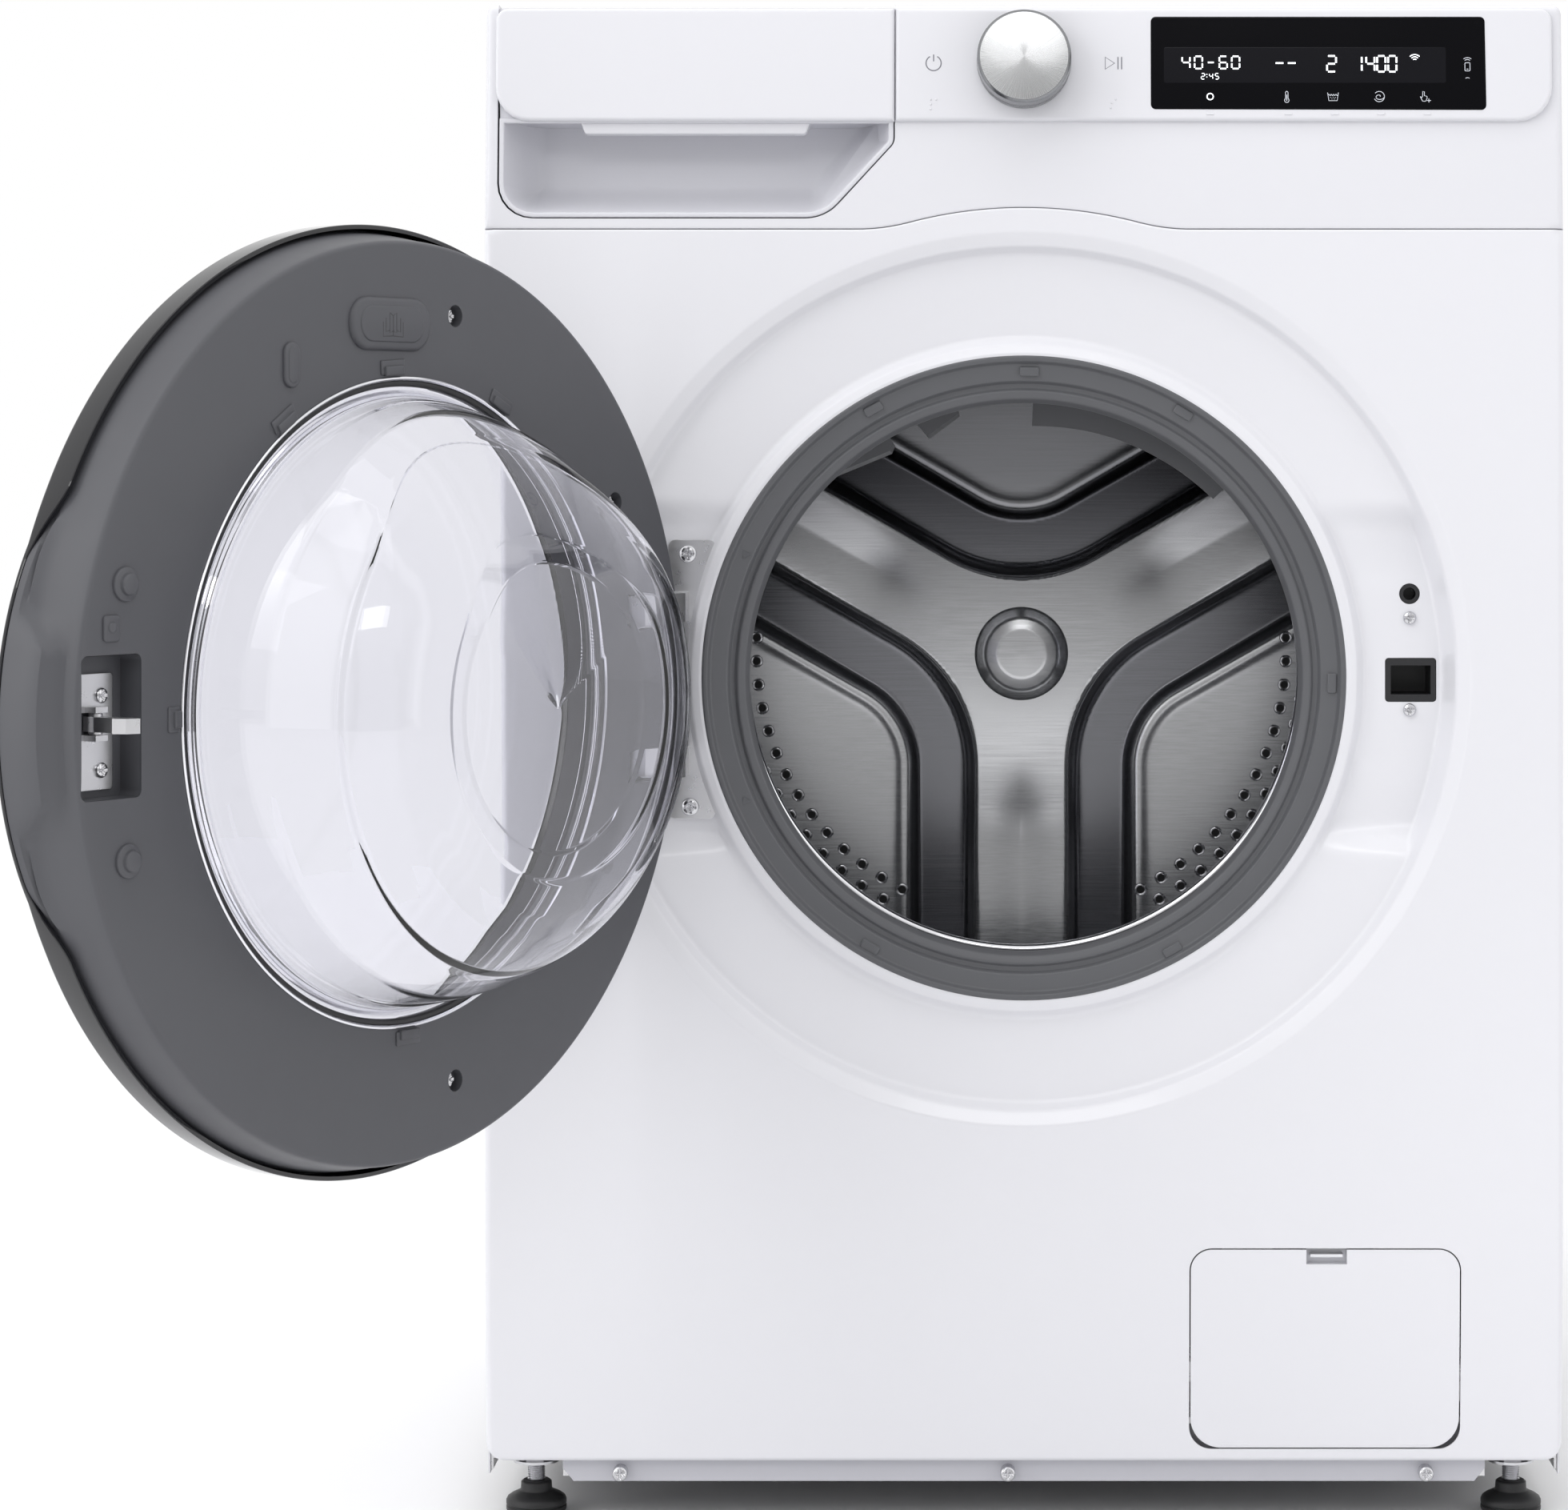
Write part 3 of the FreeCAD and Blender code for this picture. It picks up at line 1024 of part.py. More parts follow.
def star_outline(half_width, corner_r, reach, y):
    """Three-armed star with round inner corners; one arm points down."""
    centre_r = (half_width + corner_r) / math.sin(math.radians(60))
    start = (half_width + corner_r) / math.tan(math.radians(60))
    edges = []

    def point(angle, along, across):
        a = math.radians(angle)
        x = along * math.cos(a) - across * math.sin(a)
        z = along * math.sin(a) + across * math.cos(a)
        return V(x, y, AXIS_Z + z)

    for arm in (270, 390, 510):
        nxt = arm + 120
        mid = math.radians(arm + 60)
        inner = centre_r - corner_r
        middle = V(inner * math.cos(mid), y, AXIS_Z + inner * math.sin(mid))
        edges.append(Part.LineSegment(point(arm, reach, -half_width), point(arm, reach, half_width)).toShape())
        edges.append(Part.LineSegment(point(arm, reach, half_width), point(arm, start, half_width)).toShape())
        edges.append(Part.Arc(point(arm, start, half_width), middle, point(nxt, start, -half_width)).toShape())
        edges.append(Part.LineSegment(point(nxt, start, -half_width), point(nxt, reach, -half_width)).toShape())
    return Part.Face(Part.Wire(edges))


def star_prism(half_width, corner_r, t0, t1):
    star = star_outline(half_width, corner_r, 260, at(t0)).extrude(V(0, t1 - t0, 0))
    return star.common(disc(226, at(t0), at(t1)))


def make_drum_back():
    """Pressed back of the drum: raised star and hub, sunk grooves beside the arms, perforated sectors."""
    far = 336.0
    wall = DRUM_SHEET
    face = disc(DRUM_R - 0.05, at(SECTOR_T), at(far))
    face = face.cut(star_prism(STAR_HALF + GROOVE, STAR_CORNER - GROOVE, SECTOR_T - 1, GROOVE_T))
    face = face.fuse([star_prism(STAR_HALF, STAR_CORNER, STAR_T, far)])
    hollow = disc(DRUM_R - 0.05 - wall, at(SECTOR_T + wall), at(far + 1))
    reach = GROOVE + wall
    hollow = hollow.cut(star_prism(STAR_HALF + reach, STAR_CORNER - reach, SECTOR_T, GROOVE_T + wall))
    hollow = hollow.fuse([star_prism(STAR_HALF - wall, STAR_CORNER + wall, STAR_T + wall, far + 1)])
    dome = turned([(0, 295), (18, 295.8), (26, 298.2), (29.5, 301.5), (HUB_R, STAR_T), (HUB_R, STAR_T + wall),
                   (0, STAR_T + wall)])
    dome_void = turned([(0, 296), (17.5, 296.8), (25, 299.2), (28.5, 302.3), (HUB_R - wall, STAR_T + 3),
                        (0, STAR_T + 3)])
    back = face.cut(hollow).fuse([dome]).cut(dome_void)
    holes = []
    for sector in (90, 210, 330):
        for k in range(14):
            holes.append(spun(disc(2.5, at(310), at(330), x=166.8), sector + (k - 6.5) * 5.12))
        for k in range(13):
            holes.append(spun(disc(2.5, at(310), at(330), x=177.8), sector + (k - 6) * 5.12))
    return cut_all(back, holes).removeSplitter()


def make_lifters():
    """Three paddles inside the shell."""
    lifters = []
    for angle in (90, 210, 330):
        lifter = prism_y([(196, AXIS_Z - 7), (200, AXIS_Z - 12), (232, AXIS_Z - 24), (239.2, AXIS_Z - 26),
                          (239.2, AXIS_Z + 26), (232, AXIS_Z + 24), (200, AXIS_Z + 12), (196, AXIS_Z + 7)],
                         DRUM_FRONT + 14, DRUM_BACK - 6)
        lifter = lifter.common(disc(DRUM_R - 0.1, DRUM_FRONT, DRUM_BACK))
        lifters.append(spun(lifter, angle))
    return Part.makeCompound(lifters)


def make_spider():
    """Three-armed casting behind the drum, cast round its shaft."""
    hub = disc(36, SPIDER_Y[0], SPIDER_Y[1])
    pieces = [hub]
    for angle in (270, 30, 150):
        arm = box(20, 232, SPIDER_Y[0], 76, AXIS_Z - 15, AXIS_Z + 15)
        arm = arm.cut(box(0, 60, SPIDER_Y[1], 90, AXIS_Z - 40, AXIS_Z + 40))
        tip = prism_z([(90, 64.5), (232, 57), (240, 57), (240, 90), (90, 90)], AXIS_Z - 20, AXIS_Z + 20)
        arm = arm.cut(tip.cut(box(0, 130, 0, 100, 0, 900)))
        pieces.append(spun(arm, angle))
    return fuse(pieces + [disc(SHAFT_R, 58, 190.5), disc(SHAFT_R + 3, 190, 196)])


def make_drum_pulley():
    rim = ring(PULLEY_R, PULLEY_R - 7, PULLEY_FRONT, PULLEY_FRONT + PULLEY_WIDE)
    hub = disc(24, PULLEY_FRONT - 5, PULLEY_FRONT + 24.9)
    spokes = [spun(box(20, PULLEY_R - 5, 171, 179, AXIS_Z - 9, AXIS_Z + 9), 60 * k) for k in range(6)]
    return fuse([rim, hub] + spokes).cut(disc(SHAFT_R + 0.02, 150, 200))


def belt_loop(big_r, small_r, y0, y1):
    """Solid filling the loop round both pulleys."""
    dx, dz = MOTOR_X, MOTOR_Z - AXIS_Z
    spread = math.hypot(dx, dz)
    heading = math.atan2(dz, dx)
    lean_in = math.acos((big_r - small_r) / spread)
    corners = []
    for sign in (1, -1):
        a = heading + sign * lean_in
        big = (big_r * math.cos(a), AXIS_Z + big_r * math.sin(a))
        small = (MOTOR_X + small_r * math.cos(a), MOTOR_Z + small_r * math.sin(a))
        corners += [big, small] if sign == 1 else [small, big]
    return fuse([disc(big_r, y0, y1), disc(small_r, y0, y1, x=MOTOR_X, z=MOTOR_Z), prism_y(corners, y0, y1)])


def make_belt():
    y0, y1 = PULLEY_FRONT + 3, PULLEY_FRONT + 17
    return belt_loop(PULLEY_R + 3.3, MOTOR_PULLEY_R + 3.3, y0, y1).cut(
        belt_loop(PULLEY_R + 0.3, MOTOR_PULLEY_R + 0.3, y0 - 1, y1 + 1))


def make_motor_stator():
    body = disc(MOTOR_R, 20, 140, x=MOTOR_X, z=MOTOR_Z)
    void = disc(38, 28, 132, x=MOTOR_X, z=MOTOR_Z)
    shaft_way = disc(8 + RUN, 10, 150, x=MOTOR_X, z=MOTOR_Z)
    return cut_all(body, [void, shaft_way])


def make_motor_rotor():
    core = disc(36, 40, 120, x=MOTOR_X, z=MOTOR_Z)
    shaft = disc(8, 22, 187, x=MOTOR_X, z=MOTOR_Z)
    pulley = disc(MOTOR_PULLEY_R, PULLEY_FRONT - 1, PULLEY_FRONT + 21, x=MOTOR_X, z=MOTOR_Z)
    return fuse([core, shaft, pulley])


# ---------------------------------------------------------------- hoses and pump
def make_drain_pump():
    """Pump with its filter chamber facing the hatch, an inlet on the left and an outlet on the right."""
    chamber = disc(36, -252, -170, x=PUMP_X, z=PUMP_Z)
    motor = disc(30, -171, -100, x=PUMP_X, z=PUMP_Z)
    inlet = cyl("x", (PUMP_X - 56, -210, PUMP_Z + 8), 16, 40)
    outlet = cyl("x", (PUMP_X + 20, -195, PUMP_Z + 14), 10, 40)
    saddle = box(PUMP_X - 25, PUMP_X + 25, -238, -222, 60.05, 80)
    body = fuse([chamber, motor, inlet, outlet, saddle])
    tools = [disc(33, -253, -176, x=PUMP_X, z=PUMP_Z)]
    tools.append(cyl("x", (PUMP_X - 57, -210, PUMP_Z + 8), 13, 40))
    tools.append(cyl("x", (PUMP_X + 20, -195, PUMP_Z + 14), 7.5, 41))
    return cut_all(body, tools)


def make_pump_filter():
    """Screw-in filter with its turning bar."""
    plug = disc(33 - RUN, -256, -240, x=PUMP_X, z=PUMP_Z)
    cap = disc(38, -256, -252.3, x=PUMP_X, z=PUMP_Z)
    basket = ring(30, 27.5, -240, -185, x=PUMP_X, z=PUMP_Z)
    bar = box(PUMP_X - 26, PUMP_X + 26, -262, -255, PUMP_Z - 4, PUMP_Z + 4)
    slots = [spun(box(PUMP_X + 20, PUMP_X + 35, -232, -193, PUMP_Z - 5, PUMP_Z + 5), 60 * k, PUMP_X, PUMP_Z)
             for k in range(6)]
    return cut_all(fuse([plug, cap, basket, bar]), slots)


def make_sump_hose():
    x, y = SUMP_EXIT
    z = SUMP[4]
    end_x, end_z = PUMP_X - 40, PUMP_Z + 8
    hose = swept([(x, y, z - 5), (x, y, 150), (x + 12, -158, end_z + 6), (x + 30, -210, end_z),
                  (end_x, -210, end_z)], 19, 16.2)
    return hose.cut(cyl("x", (PUMP_X - 56, -210, end_z), 16.05, 40))


def make_drain_hose():
    """Outlet hose along the right side to the clip high on the back."""
    x, z = PUMP_X + 52, PUMP_Z + 14
    exit_x, exit_z = DRAIN_EXIT
    hose = swept([(x - 8, -195, z), (x + 36, -195, z), (281, -150, z + 28), (281, -40, z + 90), (281, 60, 290),
                  (281, 160, 440), (279, 222, 590), (exit_x, 228, 700), (exit_x, 230, exit_z),
                  (exit_x, BACK + 10, exit_z)], 10.5, 8.0)
    return hose.cut(cyl("x", (PUMP_X + 20, -195, z), 10.05, 40))


def make_dispenser_hose():
    """Bellows from the dispenser down to the top of the tub."""
    return swept([(-180, -30, 737.5), (-180, -30, 705), (-168, -30, 655)], 20, 16.3).cut(
        disc(TUB_R + TUB_WALL + 0.2, -100, 50))


# ---------------------------------------------------------------- assembly
def door_parts():
    closed = {
        "door_cover": make_door_cover(),
        "door_window": make_door_window(),
        "door_frame": make_door_frame(),
        "door_bowl": make_door_bowl(),
        "door_glass_ring": make_glass_ring(),
        "door_hinge_block": make_door_hinge_block(),
        "hinge_pins": make_hinge_pins(),
        "latch_plate": make_latch_plate(),
        "latch_hook": make_latch_hook(),
        "door_screws": make_door_screws(),
    }
    return {name: swing(shape) for name, shape in closed.items()}


def all_parts():
    side = make_side_panel()
    drawer_front = make_drawer_front()
    parts = {
        "side_panel_left": side,
        "side_panel_right": mirrored_x(side),
        "rear_panel": make_rear_panel(),
        "transit_caps": make_transit_caps(),
        "mains_gland": make_mains_gland(),
        "worktop": make_worktop(),
        "front_panel": make_front_panel(),
        "base_frame": make_base_frame(),
        "kick_plate": make_kick_plate(),
        "cabinet_screws": make_cabinet_screws(),
        "foot_lock_nuts": make_foot_lock_nuts(),
        "console": make_console(),
        "display_window": make_display_window(),
        "control_board": make_control_board(),
        "dispenser_housing": make_dispenser_housing(),
        "inlet_valve": make_inlet_valve(),
        "door_lock": make_door_lock(),
        "hinge_bracket": make_hinge_bracket(),
        "door_gasket": make_gasket(),
        "gasket_clamp": make_gasket_clamp(),
        "damper_cylinders": make_damper_cylinders(),
        "drain_pump": make_drain_pump(),
        "drain_hose": make_drain_hose(),
        "pump_filter": make_pump_filter(),
        "service_hatch": make_service_hatch(),
        "knob": make_knob(),
        "drawer_front": drawer_front,
        "drawer_tray": make_drawer_tray(drawer_front),
        "tub_front": make_tub_front(),
        "tub_rear": make_tub_rear(),
        "counterweights": make_counterweights(),
        "heater": make_heater(),
        "drum_bearings": make_bearings(),
        "shaft_seal": make_shaft_seal(),
        "damper_rods": make_damper_rods(),
        "suspension_springs": make_springs(),
        "dispenser_hose": make_dispenser_hose(),
        "sump_hose": make_sump_hose(),
        "motor_stator": make_motor_stator(),
        "motor_rotor": make_motor_rotor(),
        "drive_belt": make_belt(),
        "drum_shell": make_drum_shell(),
        "drum_back": make_drum_back(),
        "drum_lifters": make_lifters(),
        "drum_spider": make_spider(),
        "drum_pulley": make_drum_pulley(),
    }
    for corner, (x, y) in FEET.items():
        parts["foot_" + corner] = make_foot(x, y)
    parts.update(door_parts())
    return parts


def save_all():
    os.makedirs("parts", exist_ok=True)
    for name, shape in all_parts().items():
        shape.exportStep("parts/" + name + ".step")
        box_mm = shape.BoundBox
        print(f"{name:22s} solids {len(shape.Solids)} valid {shape.isValid()} "
              f"volume {shape.Volume / 1000:9.1f} cm3 "
              f"x {box_mm.XMin:7.1f} {box_mm.XMax:7.1f} y {box_mm.YMin:7.1f} {box_mm.YMax:7.1f} "
              f"z {box_mm.ZMin:6.1f} {box_mm.ZMax:6.1f}")


save_all()
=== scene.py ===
"""Looks of a front load washing machine, on the frame that the CAD model gives.

Lengths in this script are millimetres in the CAD frame until piece() turns them into metres:
x to the right, y to the back, z up, t = depth behind the flat front of the cabinet.
"""
import math

import bmesh
import bpy
import numpy as np
from mathutils import Matrix, Vector


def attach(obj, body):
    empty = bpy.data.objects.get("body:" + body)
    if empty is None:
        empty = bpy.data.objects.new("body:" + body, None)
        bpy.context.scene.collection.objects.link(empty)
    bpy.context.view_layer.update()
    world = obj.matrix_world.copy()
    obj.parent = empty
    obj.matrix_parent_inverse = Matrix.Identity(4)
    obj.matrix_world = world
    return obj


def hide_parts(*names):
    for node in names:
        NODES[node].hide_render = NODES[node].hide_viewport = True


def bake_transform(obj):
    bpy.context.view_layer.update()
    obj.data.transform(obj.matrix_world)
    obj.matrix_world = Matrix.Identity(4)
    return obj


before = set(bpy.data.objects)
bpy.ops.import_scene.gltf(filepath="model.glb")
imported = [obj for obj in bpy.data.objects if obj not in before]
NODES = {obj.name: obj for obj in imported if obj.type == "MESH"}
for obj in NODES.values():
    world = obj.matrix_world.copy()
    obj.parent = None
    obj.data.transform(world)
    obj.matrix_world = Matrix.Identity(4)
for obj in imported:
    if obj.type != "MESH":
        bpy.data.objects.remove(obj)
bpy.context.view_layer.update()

MM = 0.001
FRONT = -275.0
AXIS_Z = 474.0
HALF = 300.0
SEAM_Z = 724.0
LEAN = math.radians(4.5)
PANEL_BOTTOM = 37.4
CURVE_START_Z = 210.0
CURVE_R = 1659.0
PAD_PROUD = 3.5
HINGE_X, HINGE_Y = -218.0, FRONT - 19.1
DOOR_OPEN = math.radians(122.2)
DOOR_FACE_T = 7.2
COVER_T = -30.4


# ---------------------------------------------------------------- frames of reference
def swing():
    """Takes the closed door to its open rest place."""
    pivot = Matrix.Translation((HINGE_X, HINGE_Y, 0))
    return pivot @ Matrix.Rotation(-DOOR_OPEN, 4, "Z") @ pivot.inverted()


def lean():
    """Tips console parts back about the seam line."""
    pivot = Matrix.Translation((0, FRONT, SEAM_Z))
    return pivot @ Matrix.Rotation(-LEAN, 4, "X") @ pivot.inverted()


OPEN = swing()
LEANED = lean()
STRAIGHT = Matrix.Identity(4)


# ---------------------------------------------------------------- mesh helpers
def piece(name, body, verts, faces, material, place=STRAIGHT, sharp=32, replaces=()):
    """A mesh from millimetre points, moved by place, that rides on a body."""
    mesh = bpy.data.meshes.new(name)
    points = [MM * (place @ Vector(v)) for v in verts]
    mesh.from_pydata([tuple(p) for p in points], [], faces)
    mesh.validate()
    made = bmesh.new()
    made.from_mesh(mesh)
    bmesh.ops.recalc_face_normals(made, faces=made.faces)
    made.to_mesh(mesh)
    made.free()
    return settle(name, body, mesh, material, sharp, replaces)


def settle(name, body, mesh, material, sharp=32, replaces=()):
    """Link a finished mesh, shade it smooth up to an angle, and give it its body and finish."""
    mesh.shade_smooth()
    mesh.set_sharp_from_angle(angle=math.radians(sharp))
    made = bpy.data.objects.new(name, mesh)
    bpy.context.scene.collection.objects.link(made)
    mesh.materials.clear()
    mesh.materials.append(material)
    if body:
        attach(made, body)
    if replaces:
        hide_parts(*replaces)
    return made


def grid_faces(rows, columns, close_rows=False, close_columns=True):
    """Quads of a grid whose points are listed row by row."""
    faces = []
    for i in range(rows if close_rows else rows - 1):
        for j in range(columns if close_columns else columns - 1):
            a, b = i * columns + j, i * columns + (j + 1) % columns
            c, d = ((i + 1) % rows) * columns + (j + 1) % columns, ((i + 1) % rows) * columns + j
            faces.append((a, b, c, d))
    return faces


def loft(rows, close_rows=False, cap_first=False, cap_last=False):
    """Points and faces of closed loops joined one to the next."""
    count = len(rows[0])
    verts = [p for row in rows for p in row]
    faces = grid_faces(len(rows), count, close_rows)
    if cap_first:
        faces.append(tuple(range(count)))
    if cap_last:
        faces.append(tuple(range((len(rows) - 1) * count, len(rows) * count)))
    return verts, faces


def join(parts):
    """One list of points and faces from several."""
    verts, faces = [], []
    for more_verts, more_faces in parts:
        base = len(verts)
        verts += more_verts
        faces += [tuple(base + k for k in face) for face in more_faces]
    return verts, faces


def rounded_path(points, radii, steps=5, closed=False):
    """Flat polyline whose corners are rounded to the given radii."""
    points = [np.array(p, float) for p in points]
    count = len(points)
    if not hasattr(radii, "__len__"):
        radii = [radii] * count
    path = []
    for k in range(count):
        corner = points[k]
        if not closed and k in (0, count - 1):
            path.append(tuple(corner))
            continue
        before, after = points[k - 1] - corner, points[(k + 1) % count] - corner
        way_in, way_out = before / np.linalg.norm(before), after / np.linalg.norm(after)
        angle = math.acos(max(-1, min(1, float(way_in @ way_out))))
        if radii[k] <= 0 or angle > math.pi - 0.02:
            path.append(tuple(corner))
            continue
        reach = radii[k] / math.tan(angle / 2)
        reach = min(reach, 0.49 * np.linalg.norm(before), 0.49 * np.linalg.norm(after))
        radius = reach * math.tan(angle / 2)
        middle = (way_in + way_out) / np.linalg.norm(way_in + way_out)
        centre = corner + middle * radius / math.sin(angle / 2)
        start, end = corner + way_in * reach - centre, corner + way_out * reach - centre
        a0, a1 = math.atan2(start[1], start[0]), math.atan2(end[1], end[0])
        turn = (a1 - a0 + math.pi) % (2 * math.pi) - math.pi
        for i in range(steps + 1):
            a = a0 + turn * i / steps
            path.append((centre[0] + radius * math.cos(a), centre[1] + radius * math.sin(a)))
    return path


def lathe(profile, segments=192, x=0.0, z=AXIS_Z, close=False, cap_first=False, cap_last=False):
    """Turn a path of (radius, t) about an axis along Y."""
    rows = []
    for r, t in profile:
        row = []
        for k in range(segments):
            a = 2 * math.pi * k / segments
            row.append((x + r * math.cos(a), FRONT + t, z + r * math.sin(a)))
        rows.append(row)
    return loft(rows, close, cap_first, cap_last)


def upright_lathe(profile, x, y, segments=64):
    """Turn a path of (radius, height) about a vertical axis."""
    rows = []
    for r, z in profile:
        row = [(x + r * math.cos(2 * math.pi * k / segments), y + r * math.sin(2 * math.pi * k / segments), z)
               for k in range(segments)]
        rows.append(row)
    return loft(rows, False, True, True)


def rounded_rect(x0, x1, z0, z1, radius, inset=0.0, steps=6):
    """Outline of a rounded rectangle in (x, z)."""
    x0, x1, z0, z1 = x0 + inset, x1 - inset, z0 + inset, z1 - inset
    radius = max(0.05, radius - inset)
    outline = []
    for cx, cz, start in ((x1 - radius, z1 - radius, 0), (x0 + radius, z1 - radius, 90),
                          (x0 + radius, z0 + radius, 180), (x1 - radius, z0 + radius, 270)):
        for k in range(steps + 1):
            a = math.radians(start + 90 * k / steps)
            outline.append((cx + radius * math.cos(a), cz + radius * math.sin(a)))
    return outline


def slab(x0, x1, z0, z1, radius, t_base, t_top, edge=0.5, steps=6):
    """Raised pad with a rounded edge, from depth t_base up to t_top."""
    sense = math.copysign(1, t_base - t_top)
    edge = min(edge, abs(t_base - t_top))
    rows = [[(x, FRONT + t_base, z) for x, z in rounded_rect(x0, x1, z0, z1, radius, 0, steps)]]
    for k in range(4):
        a = math.pi / 2 * k / 3
        inset, up = edge * (1 - math.cos(a)), edge * (1 - math.sin(a))
        outline = rounded_rect(x0, x1, z0, z1, radius, inset, steps)
        rows.append([(x, FRONT + t_top + sense * up, z) for x, z in outline])
    return loft(rows, cap_first=True, cap_last=True)


def smoothstep(low, high, value):
    """Eased share from 0 at low to 1 at high; low may be the larger."""
    s = np.clip((np.asarray(value, float) - low) / (high - low), 0, 1)
    return s * s * (3 - 2 * s)


def cut(target, cutters):
    """Take closed cutter solids out of a piece, and keep the result as its plain mesh."""
    hidden = []
    for k, (verts, faces) in enumerate(cutters):
        mesh = bpy.data.meshes.new(f"cutter_{k}")
        mesh.from_pydata([(x * MM, y * MM, z * MM) for x, y, z in verts], [], faces)
        made = bmesh.new()
        made.from_mesh(mesh)
        bmesh.ops.recalc_face_normals(made, faces=made.faces)
        made.to_mesh(mesh)
        made.free()
        tool = bpy.data.objects.new(f"cutter_{k}", mesh)
        bpy.context.scene.collection.objects.link(tool)
        hidden.append(tool)
        step = target.modifiers.new(f"cut_{k}", "BOOLEAN")
        step.operation = "DIFFERENCE"
        step.solver = "EXACT"
        step.object = tool
    bake(target)
    for tool in hidden:
        bpy.data.objects.remove(tool)


def bake(target, sharp=32):
    """Apply a piece's modifiers to its mesh."""
    graph = bpy.context.evaluated_depsgraph_get()
    result = bpy.data.meshes.new_from_object(target.evaluated_get(graph))
    target.modifiers.clear()
    target.data = result
    result.shade_smooth()
    result.set_sharp_from_angle(angle=math.radians(sharp))


def moved(verts, place):
    """The same points after a move."""
    return [tuple(place @ Vector(v)) for v in verts]


def prism(outline, t0, t1, place=STRAIGHT):
    """Closed prism through the cabinet's front from depth t0 to t1."""
    rows = [[(x, FRONT + t, z) for x, z in outline] for t in (t0, t1)]
    verts, faces = loft(rows, cap_first=True, cap_last=True)
    return moved(verts, place), faces


def circle(x, z, radius, count=32):
    """Outline of a circle in the plane of the cabinet front."""
    return [(x + radius * math.cos(2 * math.pi * k / count), z + radius * math.sin(2 * math.pi * k / count))
            for k in range(count)]


# ---------------------------------------------------------------- material helpers
class Shader:
    """A principled material with small helpers for its procedural detail."""

    def __init__(self, name, colour, roughness, metallic=0.0):
        self.material = bpy.data.materials.new(name)
        self.material.use_nodes = True
        self.tree = self.material.node_tree
        self.bsdf = self.tree.nodes["Principled BSDF"]
        self.bsdf.inputs["Base Color"].default_value = (*colour, 1)
        self.bsdf.inputs["Roughness"].default_value = roughness
        self.bsdf.inputs["Metallic"].default_value = metallic
        self.colour = colour
        self.roughness = roughness
        self.bump = None

    def node(self, kind, **settings):
        """A new shader node with its settings."""
        made = self.tree.nodes.new(kind)
        for key, value in settings.items():
            setattr(made, key, value)
        return made

    def link(self, source, target):
        self.tree.links.new(source, target)

    def set(self, **sockets):
        """Set inputs of the principled shader; _ stands for a space in a name."""
        for name, value in sockets.items():
            self.bsdf.inputs[name.replace("_", " ")].default_value = value
        return self

    def noise(self, scale, stretch=(1, 1, 1), detail=4.0, rough=0.55):
        """Noise over the object's own coordinates, in metres."""
        place = self.node("ShaderNodeTexCoord")
        mapping = self.node("ShaderNodeMapping")
        mapping.inputs["Scale"].default_value = stretch
        noise = self.node("ShaderNodeTexNoise")
        noise.inputs["Scale"].default_value = scale
        noise.inputs["Detail"].default_value = detail
        noise.inputs["Roughness"].default_value = rough
        self.link(place.outputs["Object"], mapping.inputs["Vector"])
        self.link(mapping.outputs["Vector"], noise.inputs["Vector"])
        return noise.outputs["Fac"]

    def vary_colour(self, factor, spread, low=0.35, high=0.65):
        """Colour wanders by +-spread around the base as factor goes from low to high."""
        ramp = self.node("ShaderNodeMapRange")
        ramp.inputs["From Min"].default_value = low
        ramp.inputs["From Max"].default_value = high
        self.link(factor, ramp.inputs["Value"])
        mix = self.node("ShaderNodeMix", data_type="RGBA")
        dark = [c * (1 - spread) for c in self.colour]
        light = [min(1, c * (1 + spread)) for c in self.colour]
        mix.inputs["A"].default_value = (*dark, 1)
        mix.inputs["B"].default_value = (*light, 1)
        self.link(ramp.outputs["Result"], mix.inputs["Factor"])
        self.link(mix.outputs["Result"], self.bsdf.inputs["Base Color"])
        return self

    def vary_roughness(self, factor, spread, low=0.35, high=0.65):
        """Roughness wanders by +-spread as factor goes from low to high."""
        ramp = self.node("ShaderNodeMapRange")
        ramp.inputs["From Min"].default_value = low
        ramp.inputs["From Max"].default_value = high
        ramp.inputs["To Min"].default_value = max(0.02, self.roughness - spread)
        ramp.inputs["To Max"].default_value = self.roughness + spread
        self.link(factor, ramp.inputs["Value"])
        self.link(ramp.outputs["Result"], self.bsdf.inputs["Roughness"])
        return self

    def relief(self, factor, strength, distance):
        """Add one layer of bump, in metres, over the layers so far."""
        bump = self.node("ShaderNodeBump")
        bump.inputs["Strength"].default_value = strength
        bump.inputs["Distance"].default_value = distance
        self.link(factor, bump.inputs["Height"])
        if self.bump:
            self.link(self.bump, bump.inputs["Normal"])
        self.bump = bump.outputs["Normal"]
        self.link(self.bump, self.bsdf.inputs["Normal"])
        return self

    def soft_edges(self, radius):
        """Rounds the shading of crisp CAD edges by a radius in metres."""
        bevel = self.node("ShaderNodeBevel", samples=4)
        bevel.inputs["Radius"].default_value = radius
        self.bump = bevel.outputs["Normal"]
        self.link(self.bump, self.bsdf.inputs["Normal"])
        return self


def enamel(name, colour, roughness=0.32):
    """Sprayed and baked enamel: faint orange peel under a clear gloss."""
    made = Shader(name, colour, roughness)
    made.set(Coat_Weight=0.35, Coat_Roughness=0.12, Specular_IOR_Level=0.5)
    made.soft_edges(0.0006)
    made.vary_colour(made.noise(2.0, detail=1.0), 0.004)
    made.vary_roughness(made.noise(5.0, detail=1.0), 0.02, 0.2, 0.8)
    made.relief(made.noise(900.0, detail=1.0), 0.04, 0.00003)
    return made.material


